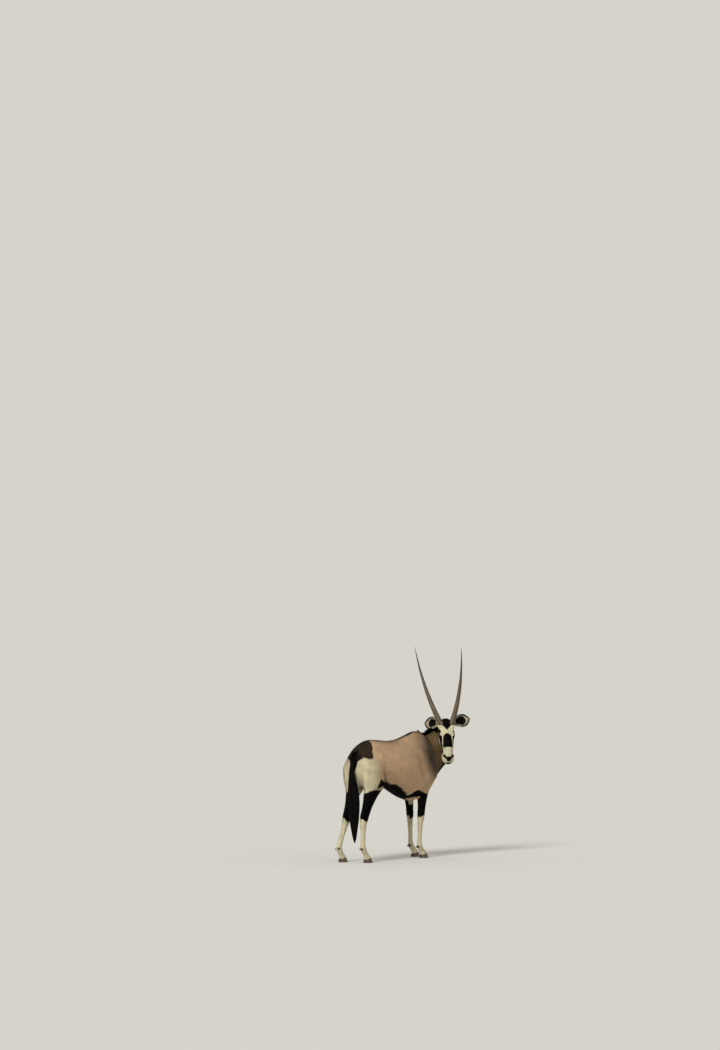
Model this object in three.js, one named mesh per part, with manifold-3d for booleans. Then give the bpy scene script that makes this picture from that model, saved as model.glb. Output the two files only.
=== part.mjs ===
// A gemsbok at life size, standing still with its neck bent round to the right and its face turned back.
// Millimetres. +X is ahead of the trunk, +Y is the animal's left and +Z is up.
// The origin is on the floor, in the middle of the space that the animal takes up.
import * as THREE from "three";
import { mergeVertices } from "three/addons/utils/BufferGeometryUtils.js";
import Module from "manifold-3d";

const wasm = await Module();
wasm.setup();

// Sides of the animal: the y of its left is positive.
const LEFT = 1;
const RIGHT = -1;
const SIDES = [LEFT, RIGHT];
const SIDE_NAMES = { [LEFT]: "left", [RIGHT]: "right" };

// Spaces between pieces that touch.
const GAP = 0.3;
const EYE_GAP = 0.6;
const MERGE = 1e-3;

// Facets round a section.
const TRUNK_SIDES = 26;
const NECK_SIDES = 20;
const HEAD_SIDES = 22;
const LEG_SIDES = 12;
const HORN_SIDES = 10;
const EAR_SIDES = 10;
const DOCK_SIDES = 10;
const BUMP_DETAIL = 6;
const EYE_DETAIL = 8;
const STEPS = 2;
const LEG_STEPS = 1;
const LOCK_SHARES = [0, 0.3, 0.7, 1];
const GOLDEN_ANGLE = 2.39996;

// The trunk from the buttocks to the breast: each section's top, bottom and half width.
// Tuck narrows the top of a section and, below nought, its bottom.
const TRUNK = [
  { x: -606, top: 985, bottom: 880, halfWidth: 26, tuck: 0 },
  { x: -592, top: 1022, bottom: 812, halfWidth: 78, tuck: 0.05 },
  { x: -560, top: 1062, bottom: 752, halfWidth: 122, tuck: 0.12 },
  { x: -500, top: 1102, bottom: 706, halfWidth: 156, tuck: 0.16 },
  { x: -420, top: 1134, bottom: 684, halfWidth: 176, tuck: 0.16 },
  { x: -330, top: 1142, bottom: 742, halfWidth: 190, tuck: 0.12 },
  { x: -200, top: 1130, bottom: 722, halfWidth: 206, tuck: 0.06 },
  { x: -60, top: 1122, bottom: 668, halfWidth: 226, tuck: 0.02 },
  { x: 80, top: 1136, bottom: 600, halfWidth: 228, tuck: 0.06 },
  { x: 200, top: 1172, bottom: 550, halfWidth: 210, tuck: 0.2 },
  { x: 290, top: 1200, bottom: 554, halfWidth: 188, tuck: 0.3 },
  { x: 380, top: 1190, bottom: 590, halfWidth: 168, tuck: 0.28 },
  { x: 450, top: 1150, bottom: 645, halfWidth: 142, tuck: 0.12 },
  { x: 505, top: 1075, bottom: 712, halfWidth: 102, tuck: 0 },
  { x: 528, top: 980, bottom: 780, halfWidth: 44, tuck: 0 },
];

// The neck from inside the withers to inside the skull: centre, half height and half width.
const NECK = [
  { x: 360, y: 0, z: 905, halfHeight: 276, halfWidth: 150, tuck: 0.3 },
  { x: 450, y: -4, z: 955, halfHeight: 234, halfWidth: 134, tuck: 0.28 },
  { x: 541, y: -30, z: 1013, halfHeight: 193, halfWidth: 106, tuck: 0.24 },
  { x: 584, y: -72, z: 1092, halfHeight: 124, halfWidth: 82, tuck: 0.16 },
  { x: 597, y: -125, z: 1146, halfHeight: 100, halfWidth: 70, tuck: 0.1 },
  { x: 572, y: -174, z: 1194, halfHeight: 78, halfWidth: 58, tuck: 0.06 },
];
const NECK_CUT = { point: [468, -5, 958], normal: [0.94, -0.08, 0.34], size: 900 };

// The head hangs from the poll. Its own frame: x down the face, y to its left, z out of the forehead.
const HEAD = {
  poll: [538, -210, 1287],
  headingDegrees: -132,
  faceFromVerticalDegrees: 24,
};
const SKULL = [
  { x: -44, top: -26, bottom: -84, halfWidth: 34, tuck: -0.05 },
  { x: -24, top: -4, bottom: -112, halfWidth: 54, tuck: -0.08 },
  { x: 10, top: 8, bottom: -140, halfWidth: 64, tuck: -0.1 },
  { x: 60, top: 10, bottom: -166, halfWidth: 70, tuck: -0.14 },
  { x: 112, top: 7, bottom: -180, halfWidth: 72, tuck: -0.2 },
  { x: 160, top: 3, bottom: -174, halfWidth: 67, tuck: -0.26 },
  { x: 208, top: 0, bottom: -150, halfWidth: 61, tuck: -0.2 },
  { x: 258, top: -2, bottom: -126, halfWidth: 54, tuck: -0.1 },
  { x: 308, top: -5, bottom: -110, halfWidth: 48, tuck: 0 },
  { x: 352, top: -9, bottom: -104, halfWidth: 46, tuck: 0.06 },
  { x: 382, top: -18, bottom: -97, halfWidth: 41, tuck: 0.08 },
  { x: 399, top: -34, bottom: -86, halfWidth: 29, tuck: 0.06 },
];

// Bumps and hollows of the head, each an ellipsoid on both sides: centre and half sizes.
const CHEEK = { centre: [128, 36, -102], radii: [82, 32, 54] };
const BROW = { centre: [94, 50, -20], radii: [44, 18, 17] };
const PEDICLE = { centre: [34, 48, -30], radii: [40, 33, 35] };
const UPPER_LIP = { centre: [342, 25, -56], radii: [60, 36, 36] };
const CHIN = { centre: [356, 0, -98], radii: [28, 25, 14] };
const NOSTRIL = { centre: [393, 29, -36], radii: [13, 5, 12], turn: [0.5, 0, 0.4] };
const MOUTH = { from: 286, to: 430, height: -80, gape: 3.2, depth: 7, droopDegrees: 3 };
const EYE = {
  centre: [116, 56, -38],
  radius: 21,
  gaze: [0.2, 0.9, 0.38],
  mound: [42, 24, 32],
  opening: [20, 30, 12.5],
};

// Horns: long spears, splayed at the base and near parallel at the tip, swept back a little,
// ringed over their lower part.
const HORN = {
  base: [2, 56, -20],
  length: 857,
  baseRadius: 26,
  tipRadius: 1.6,
  leanDegrees: 5,
  leanAtTipDegrees: 12,
  splayDegrees: 23,
  splayAtTipDegrees: 3.5,
  rings: 13,
  ringedShare: 0.6,
  ringHeight: 0.07,
  sunk: 30,
  smoothShares: [0.66, 0.73, 0.8, 0.87, 0.94, 1],
};

// Ears: deep cups on short stalks. Along is the way of their length, front the way that the cup opens.
const EAR = {
  base: [-8, 58, -50],
  along: { [LEFT]: [-0.24, 0.97, -0.06], [RIGHT]: [-0.28, 0.63, -0.72] },
  front: [0.14, 0.3, 0.94],
  length: 182,
  wall: 4,
  sections: [
    { u: -0.1, breadth: 17, depth: 15, hollow: 0 },
    { u: 0.04, breadth: 23, depth: 22, hollow: 0 },
    { u: 0.2, breadth: 40, depth: 31, hollow: 1 },
    { u: 0.42, breadth: 58, depth: 31, hollow: 1 },
    { u: 0.62, breadth: 64, depth: 25, hollow: 1 },
    { u: 0.8, breadth: 54, depth: 18, hollow: 1 },
    { u: 0.93, breadth: 30, depth: 11, hollow: 1 },
    { u: 1, breadth: 9, depth: 6, hollow: 0 },
  ],
};

// Legs: the middle of each section, its half depth along the leg's fore and aft way, and its half width.
const FORELEG = [
  { name: "blade", dx: 66, dy: 96, z: 980, depth: 92, width: 40 },
  { name: "below the blade", dx: 74, dy: 118, z: 890, depth: 114, width: 56 },
  { name: "shoulder", dx: 92, dy: 128, z: 800, depth: 116, width: 66 },
  { name: "elbow", dx: 6, dy: 118, z: 676, depth: 92, width: 58 },
  { name: "forearm", dx: 8, dy: 112, z: 585, depth: 53, width: 46 },
  { name: "lower forearm", dx: 6, dy: 105, z: 480, depth: 39, width: 35 },
  { name: "knee", dx: 4, dy: 99, z: 402, depth: 37, width: 35 },
  { name: "below the knee", dx: 0, dy: 95, z: 345, depth: 28, width: 27 },
  { name: "cannon", dx: -2, dy: 90, z: 235, depth: 21, width: 20 },
  { name: "above the fetlock", dx: -3, dy: 87, z: 150, depth: 24, width: 22 },
  { name: "fetlock", dx: 0, dy: 85, z: 112, depth: 30, width: 27 },
  { name: "pastern", dx: 32, dy: 83, z: 76, depth: 25, width: 25 },
  { name: "coronet", dx: 58, dy: 82, z: 46, depth: 32, width: 31 },
  { name: "hoof", dx: 76, dy: 82, z: 8, depth: 36, width: 32 },
];
const HINDLEG = [
  { name: "croup", dx: 168, dy: 60, z: 1056, depth: 78, width: 28 },
  { name: "hip", dx: 160, dy: 98, z: 975, depth: 130, width: 57 },
  { name: "thigh", dx: 156, dy: 116, z: 870, depth: 170, width: 84 },
  { name: "stifle", dx: 144, dy: 116, z: 745, depth: 152, width: 80 },
  { name: "gaskin", dx: 108, dy: 113, z: 645, depth: 84, width: 58 },
  { name: "lower gaskin", dx: 67, dy: 110, z: 548, depth: 61, width: 41 },
  { name: "above the hock", dx: 35, dy: 109, z: 472, depth: 57, width: 31 },
  { name: "hock", dx: 15, dy: 109, z: 425, depth: 54, width: 33 },
  { name: "below the hock", dx: 2, dy: 110, z: 368, depth: 37, width: 29 },
  { name: "cannon", dx: -4, dy: 110, z: 270, depth: 24, width: 22 },
  { name: "above the fetlock", dx: -6, dy: 110, z: 178, depth: 25, width: 23 },
  { name: "fetlock", dx: -2, dy: 110, z: 132, depth: 30, width: 27 },
  { name: "pastern", dx: 32, dy: 110, z: 84, depth: 25, width: 25 },
  { name: "coronet", dx: 62, dy: 110, z: 46, depth: 32, width: 31 },
  { name: "hoof", dx: 78, dy: 110, z: 8, depth: 36, width: 32 },
];
const FEET = [
  { name: "foreleg_right", side: RIGHT, base: FORELEG, x: 285, lean: -11, footShift: 0, footOut: 0 },
  { name: "foreleg_left", side: LEFT, base: FORELEG, x: 367, lean: -63, footShift: 0, footOut: 0 },
  { name: "hindleg_right", side: RIGHT, base: HINDLEG, x: -592, lean: 0, footShift: 0, footOut: 0 },
  { name: "hindleg_left", side: LEFT, base: HINDLEG, x: -580, lean: 0, footShift: -84, footOut: 22 },
];
// Lean moves the leg's top along x. Foot shift and foot out move its foot along x and outwards.
const LEAN_BOTTOM = 560;
const LEAN_TOP = 860;
const FOOT_SHIFT_BOTTOM = 60;
const FOOT_SHIFT_TOP = 420;
const SOCK_CUT = { FORELEG: 356, HINDLEG: 372 };
// Where the upper legs part from the trunk: a wedge seen from ahead and an outline seen from the side.
const FORE_PART = {
  wedge: [[12, -10], [12, 622], [92, 985], [420, 985], [420, -10]],
  outline: [[150, -10], [128, 640], [216, 985], [392, 985], [466, 800], [452, 640], [470, -10]],
};
const HIND_PART = {
  wedge: [[8, -10], [8, 700], [84, 1040], [420, 1040], [420, -10]],
  outline: [[-760, -10], [-760, 1040], [-330, 1040], [-246, 860], [-250, 690], [-300, -10]],
};

// Hooves: two claws on each foot, with flat soles, and two dewclaws behind the fetlock.
const CLAW = {
  length: 88,
  width: 33,
  cleft: 5,
  heelHeight: 27,
  toeHeight: 46,
  topLength: 62,
  topWidth: 29,
  topBack: 8,
  sides: 16,
};
const DEWCLAW = { length: 27, radius: 10, apart: 15, sunk: 6, sides: 8, slopeDegrees: 30 };

// The tail: a dock clad in hair, and black hair in flat overlapping locks that hang below it.
const TAIL = {
  dock: [
    { x: -560, y: 0, z: 1040, halfHeight: 30, halfWidth: 30 },
    { x: -598, y: -1, z: 1022, halfHeight: 29, halfWidth: 29 },
    { x: -628, y: -4, z: 970, halfHeight: 25, halfWidth: 26 },
    { x: -642, y: -12, z: 880, halfHeight: 26, halfWidth: 31 },
    { x: -646, y: -20, z: 780, halfHeight: 33, halfWidth: 43 },
    { x: -644, y: -27, z: 690, halfHeight: 37, halfWidth: 48 },
    { x: -640, y: -29, z: 640, halfHeight: 25, halfWidth: 35 },
    { x: -639, y: -30, z: 622, halfHeight: 8, halfWidth: 10 },
  ],
  locks: 20,
  rootTop: 880,
  rootBottom: 650,
  tip: [-632, -40, 185],
  tipRise: 150,
  tipSpread: 13,
  bellyHeight: 540,
  bellyRadius: 80,
  lockWidth: 44,
  lockThickness: 9,
  seed: 7,
};

// The mane: a short upright fringe along the crest of the neck, leaning back.
const MANE = {
  locks: 17,
  from: 0.34,
  to: 0.87,
  length: 44,
  width: 15,
  thickness: 5,
  sunk: 16,
  lean: 0.5,
  curl: 0.6,
  seed: 3,
};

const COLOURS = {
  flank: 0xa28567,
  neck: 0x6e5840,
  head: 0xc7c5a5,
  upperLeg: 0x1a0f0a,
  lowerLeg: 0xb5a682,
  horn: 0x5b4d36,
  ear: 0x8d8064,
  eye: 0x120b07,
  hoof: 0x2a211a,
  tail: 0x08070a,
};

const vector = (numbers) => new THREE.Vector3(...numbers);
const radians = THREE.MathUtils.degToRad;

// A repeatable stream of numbers from 0 to 1.
function randomStream(seed) {
  let state = seed * 7919 + 17;
  return () => {
    state = (state * 16807) % 2147483647;
    return state / 2147483647;
  };
}

// A closed mesh as a solid: only its places are kept, and shared corners are merged.
function solidOf(geometry) {
  const bare = new THREE.BufferGeometry();
  const flat = geometry.index ? geometry.toNonIndexed() : geometry;
  bare.setAttribute("position", flat.getAttribute("position"));
  const merged = mergeVertices(bare, MERGE);
  const vertProperties = merged.attributes.position.array;
  const triVerts = new Uint32Array(merged.index.array);
  return new wasm.Manifold(new wasm.Mesh({ numProp: 3, vertProperties, triVerts }));
}

// The largest closed body of a solid, as a geometry.
function geometryOf(solid) {
  const largest = solid.decompose().reduce((a, b) => (b.volume() > a.volume() ? b : a));
  const { numProp, numVert, vertProperties, triVerts } = largest.getMesh();
  const places = new Float32Array(numVert * 3);
  for (let i = 0; i < numVert; i += 1) {
    places.set(vertProperties.subarray(i * numProp, i * numProp + 3), i * 3);
  }
  const geometry = new THREE.BufferGeometry();
  geometry.setAttribute("position", new THREE.BufferAttribute(places, 3));
  geometry.setIndex(new THREE.BufferAttribute(triVerts, 1));
  return geometry;
}

const joined = (solids) => solids.reduce((whole, next) => whole.add(next));

// One number between two others, on the smooth curve that also passes those before and after.
function smoothBetween(before, from, to, after, t) {
  const leaving = (to - before) / 2;
  const arriving = (after - from) / 2;
  const cubic = (2 * (from - to) + leaving + arriving) * t ** 3;
  const square = (3 * (to - from) - 2 * leaving - arriving) * t ** 2;
  return cubic + square + leaving * t + from;
}

// More sections between the given ones, each of their numbers following a smooth curve.
function refined(sections, steps = STEPS) {
  const rows = [];
  const last = sections.length - 1;
  const keys = Object.keys(sections[0]).filter((key) => typeof sections[0][key] === "number");
  for (let i = 0; i < last; i += 1) {
    const four = [Math.max(i - 1, 0), i, i + 1, Math.min(i + 2, last)].map((n) => sections[n]);
    for (let k = 0; k < steps; k += 1) {
      const value = (key) => smoothBetween(...four.map((row) => row[key]), k / steps);
      rows.push(Object.fromEntries(keys.map((key) => [key, value(key)])));
    }
  }
  rows.push(sections[last]);
  return rows;
}

// Points round an oval section, counter-clockwise about across x upward.
function ovalRing({ centre, across, upward, halfWidth, halfHeight, tuck = 0 }, sides) {
  return Array.from({ length: sides }, (_, i) => {
    const angle = (i / sides) * 2 * Math.PI;
    const sideways = Math.cos(angle) * halfWidth * (1 - tuck * Math.sin(angle));
    const high = Math.sin(angle) * halfHeight;
    return centre.clone().addScaledVector(across, sideways).addScaledVector(upward, high);
  });
}

// A closed surface over a row of rings, with a fan at each end.
function loft(rings) {
  const places = [];
  const face = (...corners) => corners.forEach((corner) => places.push(...corner.toArray()));
  const middle = (ring) => {
    return ring.reduce((sum, p) => sum.add(p), new THREE.Vector3()).divideScalar(ring.length);
  };
  const first = rings[0];
  const last = rings[rings.length - 1];
  const ends = [middle(first), middle(last)];
  for (let j = 0; j < first.length; j += 1) {
    const k = (j + 1) % first.length;
    face(ends[0], first[k], first[j]);
    face(ends[1], last[j], last[k]);
    for (let i = 0; i + 1 < rings.length; i += 1) {
      face(rings[i][j], rings[i][k], rings[i + 1][k]);
      face(rings[i][j], rings[i + 1][k], rings[i + 1][j]);
    }
  }
  const geometry = new THREE.BufferGeometry();
  return geometry.setAttribute("position", new THREE.Float32BufferAttribute(places, 3));
}

// A form along x with level rings: the trunk and the skull. Inset draws all its walls in.
function barrel(sections, sides, inset = 0) {
  const across = new THREE.Vector3(0, 1, 0);
  const upward = new THREE.Vector3(0, 0, 1);
  const start = sections[0].x;
  const length = sections[sections.length - 1].x - start;
  const rings = refined(sections).map(({ x, top, bottom, halfWidth, tuck }) => {
    const drawnIn = start + inset + ((x - start) * (length - 2 * inset)) / length;
    const centre = new THREE.Vector3(drawnIn, 0, (top + bottom) / 2);
    const size = { halfWidth: halfWidth - inset, halfHeight: (top - bottom) / 2 - inset };
    return ovalRing({ centre, across, upward, ...size, tuck }, sides);
  });
  return solidOf(loft(rings));
}

// Rings square to the path through the sections' middles. Sideways is the way of their width.
function pathRings(sections, sides, sideways, grow = 0, steps = STEPS) {
  const rows = refined(sections, steps);
  const centres = rows.map(({ x, y, z }) => new THREE.Vector3(x, y, z));
  return rows.map(({ halfWidth, halfHeight, tuck }, i) => {
    const next = centres[Math.min(i + 1, rows.length - 1)];
    const previous = centres[Math.max(i - 1, 0)];
    const way = next.clone().sub(previous).normalize();
    const across = sideways(way).addScaledVector(way, -sideways(way).dot(way)).normalize();
    const upward = way.clone().cross(across);
    const size = { halfWidth: halfWidth + grow, halfHeight: halfHeight + grow, tuck };
    return ovalRing({ centre: centres[i], across, upward, ...size }, sides);
  });
}

// An ellipsoid of the given half sizes, turned about its own middle.
function ellipsoid({ centre, radii, turn = [0, 0, 0] }, side = LEFT, detail = BUMP_DETAIL) {
  const geometry = new THREE.SphereGeometry(1, detail * 2, detail);
  geometry.scale(...radii);
  geometry.rotateX(turn[0] * side);
  geometry.rotateY(turn[1]);
  geometry.rotateZ(turn[2] * side);
  geometry.translate(centre[0], centre[1] * side, centre[2]);
  return solidOf(geometry);
}

// A block that holds all within its size on one side of a plane, set back from it by some distance.
function halfSpace({ point, normal, size }, back = 0) {
  const way = vector(normal).normalize();
  const turn = new THREE.Quaternion().setFromUnitVectors(new THREE.Vector3(0, 0, 1), way);
  const middle = vector(point).addScaledVector(way, size / 2 + back);
  const geometry = new THREE.BoxGeometry(size, size, size);
  return solidOf(geometry.applyQuaternion(turn).translate(...middle.toArray()));
}

// An outline with each of its edges moved in by the same distance.
function insetOutline(corners, distance) {
  const points = corners.map(([x, y]) => new THREE.Vector2(x, y));
  const turnWay = Math.sign(THREE.ShapeUtils.area(points));
  return points.map((point, i) => {
    const before = points[(i + points.length - 1) % points.length];
    const after = points[(i + 1) % points.length];
    const edgeIn = point.clone().sub(before).normalize();
    const edgeOut = after.clone().sub(point).normalize();
    const inward = (edge) => new THREE.Vector2(-edge.y, edge.x).multiplyScalar(turnWay);
    const mitre = inward(edgeIn).add(inward(edgeOut));
    return point.clone().addScaledVector(mitre, (2 * distance) / mitre.lengthSq());
  });
}

// The space that an upper leg takes: a wedge seen from ahead, within an outline seen from the side.
function legSpace({ wedge, outline }, side, inset = 0) {
  const reach = 2000;
  const prism = (corners) => {
    const shape = new THREE.Shape(insetOutline(corners, inset));
    return new THREE.ExtrudeGeometry(shape, { depth: 2 * reach, bevelEnabled: false }).translate(0, 0, -reach);
  };
  const alongX = solidOf(prism(wedge).rotateX(Math.PI / 2).rotateZ(Math.PI / 2));
  const alongY = solidOf(prism(outline).rotateX(Math.PI / 2));
  const both = alongX.intersect(alongY);
  return side === LEFT ? both : both.mirror([0, 1, 0]);
}

// One leg's sections in their places: the pose leans the leg and shifts its foot.
function legSections({ side, base, x, lean, footShift, footOut }) {
  return base.map(({ dx, dy, z, depth, width }) => {
    const leaning = lean * THREE.MathUtils.smoothstep(z, LEAN_BOTTOM, LEAN_TOP);
    const low = 1 - THREE.MathUtils.smoothstep(z, FOOT_SHIFT_BOTTOM, FOOT_SHIFT_TOP);
    const along = x + dx + leaning + footShift * low;
    return { x: along, y: side * (dy + footOut * low), z, halfHeight: depth, halfWidth: width };
  });
}

function legForm(foot) {
  const sideways = () => new THREE.Vector3(0, 1, 0);
  const rings = pathRings(legSections(foot), LEG_SIDES, sideways, 0, LEG_STEPS);
  return solidOf(loft(rings));
}

// One claw: a flat teardrop sole that narrows to the coronet, which slopes down to the heel.
function clawForm(side, grow = 0) {
  const ring = (length, width, back, heightAt) => {
    return Array.from({ length: CLAW.sides }, (_, i) => {
      const angle = (i / CLAW.sides) * 2 * Math.PI;
      const forward = Math.cos(angle);
      const pointed = 1 - 0.32 * Math.max(forward, 0) ** 2;
      const y = Math.sin(angle) * (width / 2) * pointed;
      return new THREE.Vector3((forward * length) / 2 - back, y, heightAt(forward));
    });
  };
  const top = (forward) => {
    return THREE.MathUtils.lerp(CLAW.heelHeight, CLAW.toeHeight, (forward + 1) / 2) + grow;
  };
  const rings = [
    ring(CLAW.length, CLAW.width, 0, () => 0),
    ring(CLAW.length, CLAW.width, 0, () => 5),
    ring(CLAW.topLength, CLAW.topWidth, CLAW.topBack, top),
  ];
  return loft(rings).translate(0, (side * (CLAW.width + CLAW.cleft)) / 2, 0);
}

// A dewclaw: a blunt cone that points down and back, with its root sunk into the fetlock.
function dewclawForm(grow = 0) {
  const { length, radius, sides, sunk } = DEWCLAW;
  const geometry = new THREE.CylinderGeometry(radius * 0.45 + grow, radius + grow, length + sunk + grow, sides);
  return geometry.rotateX(-Math.PI / 2).translate(0, 0, -(length - sunk) / 2);
}

// A horn from inside the skull to its tip, in the head's frame.
function hornForm(side, grow = 0) {
  const { lerp } = THREE.MathUtils;
  const last = HORN.rings * 2;
  const ringed = Array.from({ length: last + 1 }, (_, i) => (i / last) * HORN.ringedShare);
  const place = new THREE.Vector3(HORN.base[0], HORN.base[1] * side, HORN.base[2]);
  let travelled = -HORN.sunk - grow;
  const rings = [0, ...ringed, ...HORN.smoothShares].map((share, i) => {
    const splay = radians(lerp(HORN.splayDegrees, HORN.splayAtTipDegrees, share ** 0.7));
    const lean = radians(lerp(HORN.leanDegrees, HORN.leanAtTipDegrees, share));
    const sideways = Math.tan(side * splay);
    const way = new THREE.Vector3(-Math.cos(lean), sideways, -Math.sin(lean)).normalize();
    const along = i === 0 ? travelled : share * HORN.length;
    place.addScaledVector(way, i === 0 ? travelled : along - travelled);
    travelled = along;
    const ridge = i > 2 && i % 2 === 0 && share < HORN.ringedShare ? HORN.ringHeight * (1 - share) : 0;
    const radius = lerp(HORN.baseRadius, HORN.tipRadius, share ** 1.15) * (1 + ridge) + grow;
    const across = new THREE.Vector3(0, 1, 0).addScaledVector(way, -way.y).normalize();
    const upward = way.clone().cross(across);
    const size = { halfWidth: radius, halfHeight: radius };
    return ovalRing({ centre: place.clone(), across, upward, ...size }, HORN_SIDES);
  });
  return solidOf(loft(rings));
}

// An ear in the head's frame: a half oval shell with its cup cut out of the front.
function earForm(side, grow = 0) {
  const mirrored = ([x, y, z]) => new THREE.Vector3(x, y * side, z);
  const along = mirrored(EAR.along[side]).normalize();
  const towards = mirrored(EAR.front);
  const front = towards.addScaledVector(along, -towards.dot(along)).normalize();
  const across = front.clone().cross(along);
  const base = mirrored(EAR.base);
  const rows = refined(EAR.sections);
  const centreOf = (u) => base.clone().addScaledVector(along, u * EAR.length);
  const shell = rows.map(({ u, breadth, depth }) => {
    const ring = ovalRing(
      { centre: centreOf(u), across, upward: front, halfWidth: breadth + grow, halfHeight: depth + grow },
      EAR_SIDES,
    );
    const flatFront = (point) => {
      const ahead = point.clone().sub(centreOf(u)).dot(front);
      return point.addScaledVector(front, -0.72 * Math.max(ahead, 0));
    };
    return ring.map(flatFront);
  });
  const cup = rows
    .filter(({ hollow }) => hollow > 0.5)
    .map(({ u, breadth, depth }) => {
      const centre = centreOf(u).addScaledVector(front, EAR.wall * 0.6);
      const size = { halfWidth: breadth - EAR.wall, halfHeight: Math.max(depth - EAR.wall, 3) };
      return ovalRing({ centre, across, upward: front, ...size }, EAR_SIDES);
    });
  const whole = solidOf(loft(shell));
  return grow > 0 ? whole : whole.subtract(solidOf(loft(cup)));
}

// The room that both ears take in the body's frame, which the neck keeps clear of.
function earRoots() {
  return joined(SIDES.map((side) => earForm(side, GAP))).transform(headMatrix().elements);
}

function eyeForm(side, grow = 0) {
  const radius = EYE.radius + grow;
  return ellipsoid({ centre: EYE.centre, radii: [radius, radius, radius] }, side, EYE_DETAIL);
}

// The lids: a mound over the eye with an almond opening between its upper and lower parts.
function eyeOpening(side) {
  const gaze = new THREE.Vector3(EYE.gaze[0], EYE.gaze[1] * side, EYE.gaze[2]).normalize();
  const turn = new THREE.Quaternion().setFromUnitVectors(new THREE.Vector3(0, side, 0), gaze);
  const middle = new THREE.Vector3(EYE.centre[0], EYE.centre[1] * side, EYE.centre[2]);
  middle.addScaledVector(gaze, EYE.radius);
  const geometry = new THREE.SphereGeometry(1, 16, 8).scale(...EYE.opening);
  return solidOf(geometry.applyQuaternion(turn).translate(...middle.toArray()));
}

// The mouth: a thin slit round the muzzle, no deeper than the lips.
function mouthSlit() {
  const { from, to, height, gape, depth, droopDegrees } = MOUTH;
  const plate = new THREE.BoxGeometry(to - from, 2 * SKULL[0].halfWidth + 80, gape);
  plate.translate((to - from) / 2, 0, 0).rotateY(radians(-droopDegrees)).translate(from, 0, height);
  return solidOf(plate).subtract(barrel(SKULL, HEAD_SIDES, depth));
}

// The skull clad in flesh, with its bumps and without any opening. Grow moves its walls out.
function skullForm(grow = 0) {
  const mound = { centre: EYE.centre, radii: EYE.mound };
  const bumps = [CHEEK, BROW, PEDICLE, UPPER_LIP, mound].flatMap(({ centre, radii }) => {
    return SIDES.map((side) => ellipsoid({ centre, radii: radii.map((radius) => radius + grow) }, side));
  });
  return joined([barrel(SKULL, HEAD_SIDES, -grow), ellipsoid(CHIN), ...bumps]);
}

// The head without its horns, ears and eyes, in its own frame.
function headForm() {
  let head = skullForm().subtract(mouthSlit());
  SIDES.forEach((side) => {
    const cuts = [ellipsoid(NOSTRIL, side), eyeForm(side, EYE_GAP), eyeOpening(side)];
    head = head.subtract(joined(cuts));
  });
  return head;
}

// The head's frame in the body's: where the poll is and which way the face looks.
function headMatrix() {
  const heading = radians(HEAD.headingDegrees);
  const slope = radians(HEAD.faceFromVerticalDegrees);
  const ahead = new THREE.Vector3(Math.cos(heading), Math.sin(heading), 0);
  const up = new THREE.Vector3(0, 0, 1);
  const downFace = ahead.clone().multiplyScalar(Math.sin(slope)).addScaledVector(up, -Math.cos(slope));
  const outOfFace = ahead.clone().multiplyScalar(Math.cos(slope)).addScaledVector(up, Math.sin(slope));
  const matrix = new THREE.Matrix4().makeBasis(downFace, outOfFace.clone().cross(downFace), outOfFace);
  return matrix.setPosition(vector(HEAD.poll));
}

// The neck's width lies level and square to the way that the neck runs.
const neckSideways = (way) => new THREE.Vector3(0, 0, 1).cross(way);

function neckForm() {
  return solidOf(loft(pathRings(NECK, NECK_SIDES, neckSideways)));
}

// One lock of hair: a thin flat blade along a curve that narrows to its tip.
function lockForm(curve, flat, width, thickness) {
  const rings = LOCK_SHARES.map((share) => {
    const way = curve.getTangent(share);
    const taper = Math.max(1 - share ** 2.2, 0.06);
    const across = flat.clone().addScaledVector(way, -flat.dot(way)).normalize();
    const upward = way.clone().cross(across);
    const size = { halfWidth: (width / 2) * taper, halfHeight: (thickness / 2) * taper };
    return ovalRing({ centre: curve.getPoint(share), across, upward, ...size }, 4);
  });
  return solidOf(loft(rings));
}

function dockForm(grow = 0) {
  return solidOf(loft(pathRings(TAIL.dock, DOCK_SIDES, () => new THREE.Vector3(0, 1, 0), grow)));
}

// The tail: its dock, with locks rooted inside it that belly out below it and gather at the tip.
function tailForm() {
  const { lerp } = THREE.MathUtils;
  const random = randomStream(TAIL.seed);
  const middles = TAIL.dock.map(({ x, y, z }) => new THREE.Vector3(x, y, z));
  const samples = new THREE.CatmullRomCurve3(middles).getSpacedPoints(80);
  const tip = vector(TAIL.tip);
  const locks = Array.from({ length: TAIL.locks }, (_, i) => {
    const share = i / (TAIL.locks - 1);
    const rootHeight = lerp(TAIL.rootTop, TAIL.rootBottom, share);
    const root = samples.find((point) => point.z <= rootHeight).clone();
    const angle = i * GOLDEN_ANGLE;
    const outward = new THREE.Vector3(Math.cos(angle) * 0.8, Math.sin(angle), 0);
    const belly = root.clone().lerp(tip, 0.35).setZ(lerp(rootHeight, TAIL.bellyHeight, 0.8));
    belly.addScaledVector(outward, TAIL.bellyRadius * (0.75 + 0.5 * random()));
    const end = tip.clone().addScaledVector(outward, TAIL.tipSpread * (0.4 + random()));
    end.z += TAIL.tipRise * (1 - share) * random();
    root.addScaledVector(outward, 12);
    const flat = new THREE.Vector3(-Math.sin(angle), Math.cos(angle), 0);
    const width = TAIL.lockWidth * (0.8 + 0.4 * random());
    return lockForm(new THREE.QuadraticBezierCurve3(root, belly, end), flat, width, TAIL.lockThickness);
  });
  return joined([dockForm(), ...locks]);
}

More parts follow.
